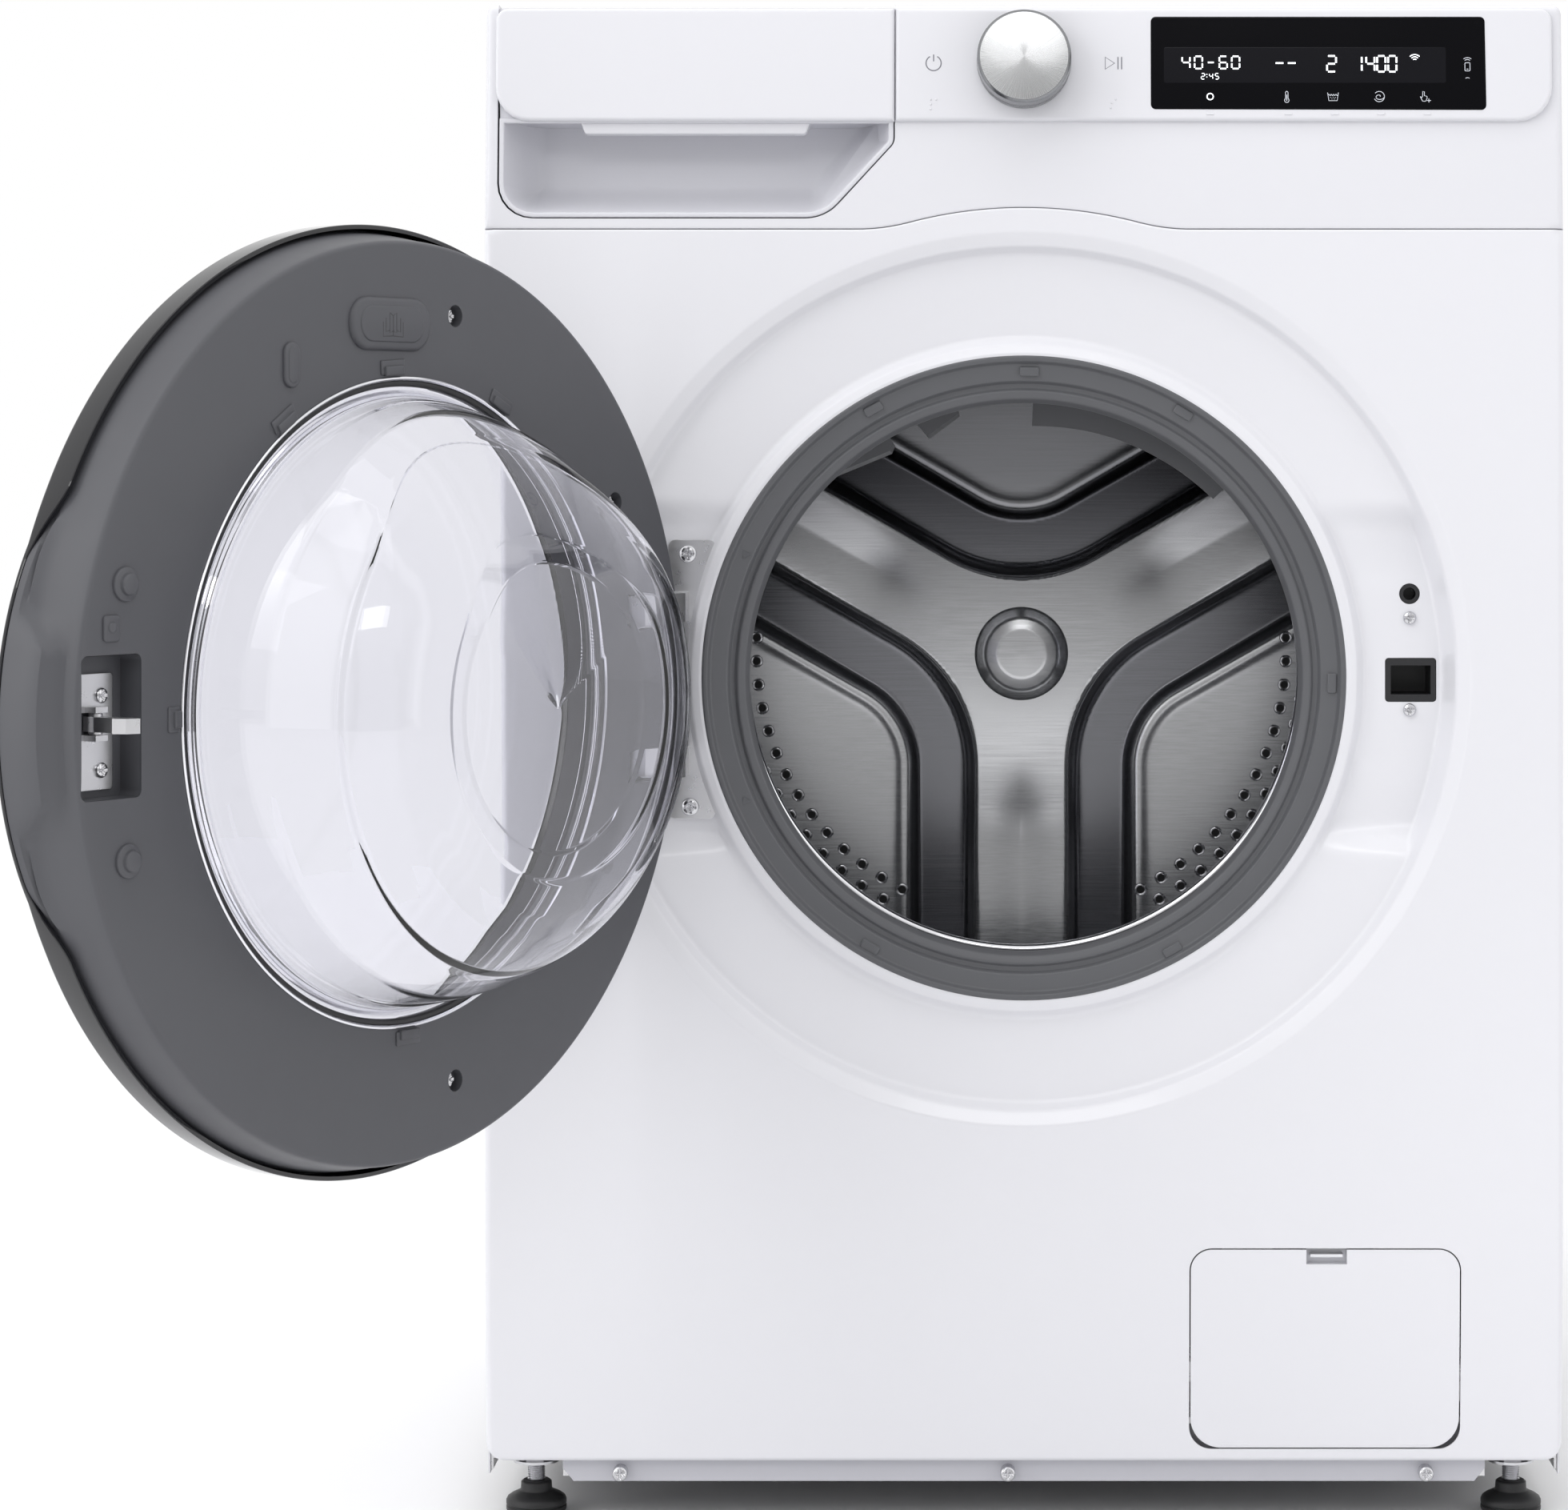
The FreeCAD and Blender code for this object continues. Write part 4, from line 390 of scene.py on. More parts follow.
def moulded(name, colour, roughness=0.45, grain=2200.0, depth=0.00004, edges=0.0005, spread=0.04):
    """Injection-moulded plastic with a fine spark-eroded grain."""
    made = Shader(name, colour, roughness)
    made.soft_edges(edges)
    made.vary_colour(made.noise(18.0, detail=2.0), spread, 0.2, 0.8)
    made.vary_roughness(made.noise(60.0), 0.03, 0.2, 0.8)
    made.relief(made.noise(grain, detail=3.0), 0.35, depth)
    return made.material


def gloss(name, colour, roughness=0.06):
    """Polished plastic or glass that shows nothing behind it, with faint wipe marks."""
    made = Shader(name, colour, roughness)
    made.set(Coat_Weight=0.3, Coat_Roughness=0.04, Specular_IOR_Level=0.4)
    made.soft_edges(0.0004)
    made.vary_roughness(made.noise(14.0, (1, 1, 3)), 0.015, 0.2, 0.8)
    made.vary_colour(made.noise(2.0, detail=1.0), 0.004)
    return made.material


def dark_glass(name, colour, roughness):
    """Coated display glass that mirrors very little."""
    made = Shader(name, colour, roughness)
    made.set(Specular_IOR_Level=0.10)
    made.vary_roughness(made.noise(14.0, (1, 1, 3)), 0.015, 0.2, 0.8)
    made.vary_colour(made.noise(2.0, detail=1.0), 0.02)
    return made.material


def brushed(name, colour, roughness, stretch, depth=0.00003, anisotropy=0.0, edges=0.0):
    """Metal with fine parallel brush lines; stretch is small along the lines."""
    made = Shader(name, colour, roughness, 1.0)
    made.set(Anisotropic=anisotropy)
    if edges:
        made.soft_edges(edges)
    lines = made.noise(900.0, stretch, detail=3.0)
    made.vary_colour(lines, 0.03)
    made.vary_roughness(lines, 0.03)
    made.relief(lines, 0.07, depth)
    return made


def metal(name, colour, roughness, edges=0.0004, mottle=60.0, spread=0.05, depth=0.00008):
    """Plated or cast metal with a lightly mottled surface."""
    made = Shader(name, colour, roughness, 1.0)
    made.soft_edges(edges)
    made.vary_colour(made.noise(mottle), spread, 0.2, 0.8)
    made.vary_roughness(made.noise(mottle * 2), 0.05, 0.2, 0.8)
    made.relief(made.noise(mottle * 14, detail=3.0), 0.2, depth)
    return made.material


def clear(name, colour, ior=1.46, roughness=0.0):
    """Clear glass with a trace of waviness from the mould."""
    made = Shader(name, colour, roughness)
    made.set(Transmission_Weight=1.0, IOR=ior)
    made.relief(made.noise(7.0, detail=1.0), 0.01, 0.0005)
    return made.material


def rubber(name, colour, roughness=0.5):
    """Dull moulded rubber with a fine grain."""
    made = Shader(name, colour, roughness)
    made.vary_colour(made.noise(9.0, detail=2.0), 0.05, 0.2, 0.8)
    made.vary_roughness(made.noise(30.0), 0.06, 0.2, 0.8)
    made.relief(made.noise(1500.0, detail=3.0), 0.2, 0.00004)
    made.set(Sheen_Weight=0.15, Sheen_Roughness=0.4)
    return made.material


def glow(name, colour, strength):
    """Lit marks of the display, brighter in the middle of each stroke's noise."""
    made = Shader(name, colour, 0.4)
    made.vary_colour(made.noise(300.0), 0.05)
    made.set(Emission_Color=(*colour, 1), Emission_Strength=strength)
    return made.material


def pressed_steel():
    """Brushed steel of the drum's back, with painted shade darkening its groove floors and its upper part
    under the drum's roof.
    """
    made = brushed("drum_back_steel_painted_shade", (0.60, 0.605, 0.62), 0.24, (0.02, 1, 1.2))
    place = made.node("ShaderNodeTexCoord")
    split = made.node("ShaderNodeSeparateXYZ")
    # painted shade: base colour is multiplied down to 0.42 on the groove floors, deeper than 318 mm behind
    # the front
    ramp = made.node("ShaderNodeMapRange", interpolation_type="SMOOTHSTEP")
    ramp.inputs["From Min"].default_value = (FRONT + 318.0) * MM
    ramp.inputs["From Max"].default_value = (FRONT + 325.0) * MM
    ramp.inputs["To Min"].default_value = 0.0
    ramp.inputs["To Max"].default_value = 1.0
    groove_shade = made.node("ShaderNodeMix", data_type="RGBA", blend_type="MULTIPLY")
    groove_shade.inputs["B"].default_value = (0.42, 0.42, 0.44, 1)
    plain = made.bsdf.inputs["Base Color"].links[0].from_socket
    made.link(place.outputs["Object"], split.inputs["Vector"])
    made.link(split.outputs["Y"], ramp.inputs["Value"])
    made.link(ramp.outputs["Result"], groove_shade.inputs["Factor"])
    made.link(plain, groove_shade.inputs["A"])
    # painted shade: base colour is multiplied down to 0.32 above the drum axis, towards the drum's roof
    roof_shade_mask = made.node("ShaderNodeMapRange", interpolation_type="SMOOTHSTEP")
    roof_shade_mask.inputs["From Min"].default_value = (AXIS_Z + 15.0) * MM
    roof_shade_mask.inputs["From Max"].default_value = (AXIS_Z + 120.0) * MM
    shade = made.node("ShaderNodeMix", data_type="RGBA", blend_type="MULTIPLY")
    shade.inputs["B"].default_value = (0.32, 0.32, 0.33, 1)
    made.link(split.outputs["Z"], roof_shade_mask.inputs["Value"])
    made.link(roof_shade_mask.outputs["Result"], shade.inputs["Factor"])
    made.link(groove_shade.outputs["Result"], shade.inputs["A"])
    made.link(shade.outputs["Result"], made.bsdf.inputs["Base Color"])
    return made.material


MAT = {
    "white": enamel("enamel_white", (0.70, 0.70, 0.735), 0.30),
    "fascia": gloss("fascia_white", (0.66, 0.66, 0.695), 0.26),
    "scoop": moulded("scoop_white", (0.60, 0.60, 0.64), 0.5, spread=0.008),
    "worktop": moulded("worktop_laminate", (0.78, 0.78, 0.80), 0.42, 900.0, spread=0.01),
    "galvanised": metal("galvanised_sheet", (0.60, 0.61, 0.63), 0.42, mottle=30.0, spread=0.12),
    "zinc": metal("zinc_plate", (0.66, 0.66, 0.67), 0.28),
    "zinc_cast": metal("zinc_casting", (0.62, 0.62, 0.635), 0.30, mottle=90.0, spread=0.02, depth=0.00002),
    "screw": metal("zinc_screws", (0.62, 0.62, 0.64), 0.22, edges=0.0002, mottle=200.0),
    "chrome": metal("bright_ring", (0.80, 0.80, 0.83), 0.08, mottle=20.0, spread=0.02, depth=0.00001),
    "grey_part": moulded("grey_moulding", (0.28, 0.29, 0.31), 0.5),
    "black_part": moulded("black_moulding", (0.012, 0.012, 0.014), 0.42),
    "foot": moulded("foot_black", (0.012, 0.012, 0.013), 0.5),
    "kick": enamel("kick_grey", (0.47, 0.47, 0.51), 0.4),
    "door_grey": moulded("door_grey_texture", (0.070, 0.071, 0.080), 0.46, 2600.0, 0.00003, spread=0.015),
    "door_line": moulded("door_grey_line", (0.045, 0.045, 0.05), 0.5),
    "door_black": gloss("door_black_gloss", (0.008, 0.008, 0.01), 0.05),
    "display": dark_glass("display_glass", (0.002, 0.002, 0.003), 0.12),
    "display_field": dark_glass("display_field", (0.007, 0.007, 0.009), 0.14),
    "bowl": clear("bowl_glass", (0.87, 0.87, 0.91)),
    "window": clear("window_glass", (0.91, 0.91, 0.94), 1.3),
    "rubber": rubber("seal_rubber", (0.090, 0.092, 0.100), 0.42),
    "hose": rubber("hose_rubber", (0.10, 0.10, 0.105), 0.5),
    "belt": rubber("belt_rubber", (0.02, 0.02, 0.02), 0.6),
    "tub": moulded("tub_polypropylene", (0.50, 0.51, 0.53), 0.55, 700.0, 0.0001),
    "concrete": moulded("concrete_cast", (0.40, 0.39, 0.37), 0.85, 260.0, 0.0006, spread=0.18),
    "steel": brushed("drum_steel", (0.60, 0.605, 0.62), 0.24, (0.03, 1, 1), edges=0.0003).material,
    "steel_back": pressed_steel(),
    "lifter": moulded("lifter_grey", (0.30, 0.31, 0.33), 0.4),
    "alloy": metal("sand_cast_alloy", (0.52, 0.53, 0.54), 0.45, mottle=120.0, spread=0.1),
    "motor": moulded("motor_lacquer", (0.05, 0.05, 0.055), 0.5, 500.0, 0.0001),
    "wire": metal("spring_steel", (0.45, 0.45, 0.47), 0.3, mottle=80.0),
    "board": moulded("circuit_board", (0.03, 0.16, 0.08), 0.4),
    "mark": moulded("printed_grey", (0.20, 0.20, 0.23), 0.5),
    "lit": glow("display_white", (0.92, 0.95, 1.0), 1.1),
    "lit_soft": glow("display_dim", (0.55, 0.57, 0.62), 0.35),
    # painted shade: near-black matte for the discs that stand in for the shade inside the drum's holes
    "hole": moulded("drum_hole_painted_shade", (0.006, 0.006, 0.007), 0.6),
}

NODE_FINISH = {
    "white": ["side_panel_left", "side_panel_right", "front_panel", "service_hatch"],
    "fascia": ["console", "drawer_front"],
    "scoop": ["drawer_tray"],
    "worktop": ["worktop"],
    "galvanised": ["rear_panel"],
    "zinc": ["base_frame"],
    "zinc_cast": ["hinge_bracket", "door_hinge_block", "latch_plate", "latch_hook"],
    "screw": ["cabinet_screws", "foot_lock_nuts", "door_screws"],
    "chrome": ["door_glass_ring"],
    "grey_part": ["transit_caps", "mains_gland", "dispenser_housing", "inlet_valve", "damper_cylinders",
                  "drain_pump", "pump_filter"],
    "black_part": ["door_lock"],
    "foot": ["foot_front_left", "foot_front_right", "foot_rear_left", "foot_rear_right"],
    "kick": ["kick_plate"],
    "door_grey": ["door_frame"],
    "door_black": ["door_cover"],
    "display": ["display_window"],
    "bowl": ["door_bowl"],
    "window": ["door_window"],
    "rubber": ["door_gasket", "shaft_seal"],
    "hose": ["drain_hose", "dispenser_hose", "sump_hose"],
    "belt": ["drive_belt"],
    "tub": ["tub_front", "tub_rear"],
    "concrete": ["counterweights"],
    "steel": ["drum_shell", "drum_back"],
    "lifter": ["drum_lifters"],
    "alloy": ["drum_spider", "drum_pulley", "knob"],
    "motor": ["motor_stator", "motor_rotor"],
    "wire": ["gasket_clamp", "hinge_pins", "heater", "drum_bearings", "damper_rods", "suspension_springs"],
    "board": ["control_board"],
}


def finish_nodes():
    """Give every CAD node its procedural material."""
    for key, names in NODE_FINISH.items():
        for name in names:
            mesh = NODES[name].data
            if not mesh.materials:
                mesh.materials.append(MAT[key])
            for slot in range(len(mesh.materials)):
                mesh.materials[slot] = MAT[key]


# ---------------------------------------------------------------- cabinet front
def seam_height(x):
    """Height of the seam over the front panel: level, arching up over the door."""
    rise, crown_r, side_r = 12.0, 250.0, 110.0
    bend = math.acos(1 - rise / (crown_r + side_r))
    run = (crown_r + side_r) * math.sin(bend)
    base = SEAM_Z - 0.25
    x = abs(x)
    if x >= run:
        return base
    if x >= crown_r * math.sin(bend):
        return base + side_r - math.sqrt(side_r ** 2 - (run - x) ** 2)
    return base + rise - crown_r + math.sqrt(crown_r ** 2 - x ** 2)


def edge_drop(distance, radius):
    """How far a rounded edge has fallen back at a distance in from the edge."""
    if distance >= radius:
        return 0.0
    return radius - math.sqrt(max(0.0, radius ** 2 - (radius - distance) ** 2))


# (radius, depth) profiles of the recess, which share their lip and their run out to the flat sheet
LIP = [(178.0, 14.0), (178.6, 11.2), (181.5, 11.0), (186.0, 12.2)]
RUN_OUT = [(248.5, 0.0), (256.0, 0.0)]
LIP_RADII = [0, 1.2, 2.5, 3]
DISH = LIP + [(190.0, 16.2), (236.5, 9.0), (240.5, 3.2)] + RUN_OUT
DISH = np.array(rounded_path(DISH, LIP_RADII + [5, 4, 4, 6, 0], 7))
POCKET = LIP + [(190.5, 20.0), (233.5, 20.0), (240.5, 4.0)] + RUN_OUT
POCKET = np.array(rounded_path(POCKET, LIP_RADII + [3, 3, 6, 6, 0], 7))
RECESS_R = 250.0


def recess_depth(x, z):
    """Depth of the round recess, its lip and its two side pockets; x, z from the drum axis."""
    r = math.hypot(x, z)
    if r > RECESS_R:
        return 0.0
    plain = float(np.interp(r, DISH[:, 0], DISH[:, 1]))
    deep = float(np.interp(r, POCKET[:, 0], POCKET[:, 1]))
    if abs(x) < 150:
        return plain
    low, high = (81.0, 99.0) if x > 0 else (84.0, 100.0)
    share = float(smoothstep(high, low, abs(z)))
    depth = plain + (deep - plain) * share
    if x > 0 and r < 238:
        pad = float(smoothstep(55.5, 53.0, abs(z)) * smoothstep(184, 187, x) * smoothstep(234, 231, x))
        depth -= 0.9 * pad * float(smoothstep(186, 192, r))
    return depth


def skin_depth(x, z):
    """Depth of the whole front panel at a point of the cabinet front."""
    depth = recess_depth(x, z - AXIS_Z)
    depth += edge_drop(HALF - abs(x), 4.0)
    depth += edge_drop(seam_height(x) - z, 0.9)
    depth += edge_drop(z - PANEL_BOTTOM, 2.5)
    if z < CURVE_START_Z:
        depth += CURVE_R - math.sqrt(CURVE_R ** 2 - (CURVE_START_Z - z) ** 2)
    return depth


def panel_outline(inset):
    """Points round the front panel's edge, moved in by inset; the same count for every inset."""
    corner = 12.0
    reach = corner - inset
    side = HALF - inset
    top = seam_height(HALF) - inset
    low = PANEL_BOTTOM + corner
    arc = [math.radians(90 * k / 8) for k in range(1, 9)]
    outline = [(side * u, seam_height(side * u) - inset) for u in np.linspace(-1, 1, 121)]
    outline += [(side, top + (low - top) * v) for v in np.linspace(0, 1, 85)[1:]]
    outline += [(HALF - corner + reach * math.cos(a), low - reach * math.sin(a)) for a in arc]
    outline += [((HALF - corner) * u, PANEL_BOTTOM + inset) for u in np.linspace(1, -1, 92)[1:]]
    outline += [(-HALF + corner - reach * math.sin(a), low - reach * math.cos(a)) for a in arc]
    outline += [(-side, low + (top - low) * v) for v in np.linspace(0, 1, 85)[1:-1]]
    return outline


def make_front_skin():
    """Front panel: flat sheet with rounded sides, a soft-edged round recess and two pockets."""
    near = panel_outline(11.0)
    angles = [math.atan2(z - AXIS_Z, x) for x, z in near]
    rows = []
    bends = [round(r, 3) for profile in (DISH, POCKET) for r in profile[:, 0]]
    radii = sorted(set(bends + list(np.linspace(192, 232, 12))))
    radii = [r for r in radii if r <= RECESS_R]
    mouth_r = LIP[0][0]
    rows.append([(mouth_r * math.cos(a), FRONT + 31.5, AXIS_Z + mouth_r * math.sin(a)) for a in angles])
    for r in radii:
        row = []
        for a in angles:
            x, z = r * math.cos(a), AXIS_Z + r * math.sin(a)
            row.append((x, FRONT + skin_depth(x, z), z))
        rows.append(row)
    for share in np.linspace(0.06, 1.0, 16):
        row = []
        for a, (px, pz) in zip(angles, near):
            cx, cz = RECESS_R * math.cos(a), AXIS_Z + RECESS_R * math.sin(a)
            x, z = cx + (px - cx) * share, cz + (pz - cz) * share
            row.append((x, FRONT + skin_depth(x, z), z))
        rows.append(row)
    for inset in (8.0, 6.0, 4.0, 3.2, 2.5, 1.8, 1.2, 0.7, 0.3, 0.08, 0.0):
        rows.append([(x, FRONT + skin_depth(x, z), z) for x, z in panel_outline(inset)])
    for t in (12.0, 19.5):
        rows.append([(x, max(FRONT + t, FRONT + skin_depth(x, z) + 0.5), z) for x, z in panel_outline(0.0)])
    verts, faces = loft(rows)
    made = piece("front_skin", "cabinet", verts, faces, MAT["white"],
                 replaces=["front_panel"])
    shell = made.modifiers.new("sheet", "SOLIDIFY")
    shell.thickness = 0.0009
    shell.offset = -1.0
    bake(made)
    hatch = rounded_rect(92.0, 243.0, 44.5, 157.6, 12.5, 0, 10)
    slot = rounded_rect(202.3, 231.0, AXIS_Z - 13.8, AXIS_Z + 10.8, 2.0)
    cutters = [prism(hatch, -6, 14), prism(slot, 12, 26), prism(circle(216.0, AXIS_Z + 46.7, 5.8), 12, 26)]
    cut(made, cutters)
    return made


# ---------------------------------------------------------------- drum back
STAR_HALF = 29.5
STAR_CORNER = 95.0
GROOVE = 38.0
STAR_T = 306.0
SECTOR_T = 318.0
GROOVE_T = 326.0


def star_distance(x, z, half_width, corner_r):
    """Distance outside a three-armed star with round inner corners; negative inside."""
    centre_r = (half_width + corner_r) / math.sin(math.radians(60))
    start = (half_width + corner_r) / math.tan(math.radians(60))
    angle = (math.degrees(math.atan2(z, x)) - 30) % 120
    # fold every point into the sector between the arm at 30 degrees and the one at 150
    a = math.radians(angle)
    r = math.hypot(x, z)
    if angle > 60:
        a = math.radians(120 - angle)
    along, across = r * math.cos(a), r * math.sin(a)
    if along >= start:
        return across - half_width
    mid = math.radians(60)
    cx, cz = centre_r * math.cos(mid), centre_r * math.sin(mid)
    return corner_r - math.hypot(along - cx, across - cz)


def drum_back_depth(x, z):
    """Depth of the drum's pressed back at a point measured from the drum axis."""
    r = math.hypot(x, z)
    outside = star_distance(x, z, STAR_HALF, STAR_CORNER)
    arm = float(smoothstep(5.5, -2.0, outside))
    groove = float(smoothstep(GROOVE + 3.5, GROOVE - 3.5, outside)) * (1 - arm)
    sector = SECTOR_T + 2.0 - 8.0 * float(smoothstep(40, 215, r))
    depth = sector + (GROOVE_T - sector) * groove
    depth += (STAR_T - depth) * arm
    depth -= arm * (4.5 * float(smoothstep(125, 20, r)) + 6.0 * float(smoothstep(95, 205, r)))
    depth += 2.2 * arm * float(smoothstep(-4, -34, outside)) * float(smoothstep(60, 120, r))
    arm_bead = 1.3 * math.exp(-((outside - 3.0) / 3.2) ** 2)
    groove_bead = 1.0 * math.exp(-((outside - GROOVE - 7.0) / 3.4) ** 2)
    depth -= arm_bead + groove_bead
    rim = float(smoothstep(206, 236, r))
    return depth * (1 - rim) + (SECTOR_T - 3.0) * rim


def make_drum_back():
    """Pressed back: raised star, sunk grooves beside its arms and three flat sectors."""
    columns = 540
    radii = [0.6] + list(np.linspace(3, 34, 12)) + list(np.linspace(37, 239.9, 110))
    rows = []
    for r in radii:
        row = []
        for k in range(columns):
            a = 2 * math.pi * k / columns
            x, z = r * math.cos(a), r * math.sin(a)
            row.append((x, FRONT + drum_back_depth(x, z), AXIS_Z + z))
        rows.append(row)
    verts, faces = loft(rows, cap_first=True)
    made = piece("drum_back_pressing", "drum", verts, faces, MAT["steel_back"], sharp=60,
                 replaces=["drum_back"])
    hub = rounded_path([(0.3, 294.6), (15, 294.9), (23, 296.8), (28.5, 300.6), (31.5, 304.4), (34.0, 306.2)],
                       [0, 12, 10, 8, 4, 0], 8)
    verts, faces = lathe(hub, 128, cap_first=True)
    piece("drum_hub_dome", "drum", verts, faces, MAT["steel_back"], sharp=60)
    return made


def make_drum_mouth():
    """Rolled bright edge of the drum's front opening."""
    roll = [(160.4 + 3.0 * math.cos(math.radians(a)), 88.2 + 3.0 * math.sin(math.radians(a)))
            for a in range(-30, 331, 20)]
    verts, faces = lathe(roll, 256, close=True)
    piece("drum_mouth_roll", "drum", verts, faces, MAT["chrome"], sharp=60)


def make_perforations():
    """Holes near the edge of the drum's back, each with a rolled bright rim and a near-black disc of painted
    shade inside.
    """
    rims, holes = [], []
    for sector in (90, 210, 330):
        for radius, count, half in ((166.8, 14, 6.5), (177.8, 13, 6.0)):
            for k in range(count):
                a = math.radians(sector + (k - half) * 5.12)
                x, z = radius * math.cos(a), radius * math.sin(a)
                t = drum_back_depth(x, z)
                profile = [(4.1, t + 0.1), (3.7, t - 0.55), (3.1, t - 0.85), (2.5, t - 0.5), (2.35, t + 0.3)]
                rims.append(lathe(profile, 20, x, AXIS_Z + z))
                # near-black disc of painted shade in each hole, where the real drum shows only shade through
                # to the tub
                holes.append(lathe([(0.2, t - 0.12), (2.36, t - 0.12)], 20, x, AXIS_Z + z, cap_first=True))
    verts, faces = join(rims)
    piece("perforation_rims", "drum", verts, faces, MAT["chrome"], sharp=60)
    verts, faces = join(holes)
    piece("perforation_holes", "drum", verts, faces, MAT["hole"])


# ---------------------------------------------------------------- door seal
def make_seal():
    """Door seal with its bead, sight groove and bellows, between cabinet and tub."""
    seen = [(181.0, 12.9), (179.6, 10.4), (177.0, 10.6), (175.2, 13.6), (166.0, 15.0), (164.3, 17.6),
            (161.8, 17.6), (160.2, 15.2), (156.0, 16.6), (153.4, 20.5), (154.3, 27), (158.5, 51),
            (167.5, 59.5), (168.8, 64), (168.8, 82)]
    hidden = [(171.8, 82), (171.8, 62), (170.5, 58.5), (161.5, 50), (157.8, 27), (157.4, 22), (175.0, 20),
              (182.6, 31.9), (182.6, 37.9), (176, 37.9), (175.6, 32)]
    profile = rounded_path(seen, [0, 1.5, 1.5, 1.6, 1.5, 1.0, 1.0, 1.5, 2.5, 2.5, 6, 6, 3, 2, 0], 5)
    profile = profile + hidden
    verts, faces = lathe(profile, 240, close=True)
    made = piece("door_seal", None, verts, faces, MAT["rubber"], sharp=50,
                 replaces=["door_gasket"])
    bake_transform(made)
    return made


def make_seal_marks():
    """Moulded tabs and arrow marks round the seal's sight face."""
    tabs = []
    for x, z in ((3, 171), (-84, 150), (89, 148), (172, -3), (83, -152), (-86, -150.5)):
        angle = math.degrees(math.atan2(z, x))
        verts, faces = slab(-5.5, 5.5, -2.6, 2.6, 1.0, 15.4, 12.6, 0.6)
        turn = Matrix.Translation((0, 0, AXIS_Z)) @ Matrix.Rotation(math.radians(90 - angle), 4, "Y")
        lift = Matrix.Translation((0, 0, math.hypot(x, z)))
        tabs.append((moved(verts, turn @ lift), faces))
    for angle in (156, 204):
        a = math.radians(angle)
        x, z = 169.5 * math.cos(a), 169.5 * math.sin(a)
        sign = 1 if z > 0 else -1
        corners = [(x - 2, z + sign * 2.4), (x - 2, z - sign * 2.4), (x + 2.4, z)]
        rows = [[(px, FRONT + t, AXIS_Z + pz) for px, pz in corners] for t in (15.4, 13.9)]
        tabs.append(loft(rows, cap_first=True, cap_last=True))
    verts, faces = join(tabs)
    piece("seal_tabs", "cabinet", verts, faces, MAT["rubber"])


# ---------------------------------------------------------------- knob
KNOB_Z = 817.0


def make_knob():
    """Machined knob: radially brushed face, bright chamfer, satin skirt and a dark foot ring."""
    face = -PAD_PROUD - 0.4
    high = 21.0
    top = face - high
    body = [(0.2, top), (24.6, top), (26.0, top + 1.6), (26.0, face - 4.4)]
    foot = [(25.0, face - 4.2), (25.0, face - 3.4), (26.2, face - 3.2), (26.2, face - 0.2), (24.5, face)]
    profile = rounded_path(body + foot, [0, 0.25, 0.5, 0.2, 0.1, 0.1, 0.3, 0.3, 0], 4)
    verts, faces = lathe(profile, 160, 0.0, KNOB_Z, cap_first=True, cap_last=True)
    made = piece("knob_turned", "programme_knob", verts, faces, MAT["knob_side"], LEANED, 40,
                 replaces=["knob"])
    disc = rounded_path([(0.1, top - 0.05), (24.3, top - 0.05), (24.5, top + 0.3)], [0, 0.1, 0], 3)
    verts, faces = lathe(disc, 160, 0.0, KNOB_Z, cap_first=True)
    piece("knob_face", "programme_knob", verts, faces, MAT["knob_face"], LEANED, 40)
    return made


def knob_materials():
    """Radial brushing for the face, and a satin turned finish for the skirt, whose dark grey is partly its
    own colour and partly painted shade of its underside.
    """
    face = Shader("knob_radial_brush", (0.66, 0.665, 0.675), 0.28, 1.0)
    face.set(Anisotropic=0.85)
    tangent = face.node("ShaderNodeTangent", direction_type="RADIAL", axis="Y")
    face.link(tangent.outputs["Tangent"], face.bsdf.inputs["Tangent"])
    centre = MM * (LEANED @ Vector((0.0, FRONT, KNOB_Z)))
    coords = face.node("ShaderNodeTexCoord")
    shift = face.node("ShaderNodeVectorMath", operation="SUBTRACT")
    shift.inputs[1].default_value = centre
    split = face.node("ShaderNodeSeparateXYZ")
    angle = face.node("ShaderNodeMath", operation="ARCTAN2")
    noise = face.node("ShaderNodeTexNoise", noise_dimensions="1D")
    noise.inputs["Scale"].default_value = 60.0
    noise.inputs["Detail"].default_value = 8.0
    face.link(coords.outputs["Object"], shift.inputs[0])
    face.link(shift.outputs["Vector"], split.inputs["Vector"])
    face.link(split.outputs["Z"], angle.inputs[0])
    face.link(split.outputs["X"], angle.inputs[1])
    face.link(angle.outputs["Value"], noise.inputs["W"])
    face.vary_colour(noise.outputs["Fac"], 0.05)
    face.vary_roughness(noise.outputs["Fac"], 0.06)
    face.relief(noise.outputs["Fac"], 0.04, 0.00003)
    MAT["knob_face"] = face.material
    # the skirt's dark grey is partly its own colour and partly painted shade of the underside the camera sees
    side = brushed("knob_side_grey_and_painted_shade", (0.26, 0.265, 0.275), 0.22, (0.05, 1, 0.05), 0.00002)
    MAT["knob_side"] = side.material


# ---------------------------------------------------------------- console, drawer and display
def inset_outline(points, inset, radii, steps=6):
    """Convex outline moved inwards by inset, with rounded corners; corners stay in the same order."""
    count = len(points)
    lines = []
    area = sum(points[k][0] * points[(k + 1) % count][1] - points[(k + 1) % count][0] * points[k][1]
               for k in range(count))
    side = 1 if area > 0 else -1
    for k in range(count):
        a, b = np.array(points[k], float), np.array(points[(k + 1) % count], float)
        along = (b - a) / np.linalg.norm(b - a)
        normal = side * np.array([-along[1], along[0]])
        lines.append((a + normal * inset, along))
    corners = []
    for k in range(count):
        (p, d), (q, e) = lines[k - 1], lines[k]
        share = ((q[0] - p[0]) * e[1] - (q[1] - p[1]) * e[0]) / (d[0] * e[1] - d[1] * e[0])
        corners.append(p + d * share)
    radii = [max(0.3, r - inset) if r else 0.3 for r in radii]
    return rounded_path(corners, radii, steps, closed=True)


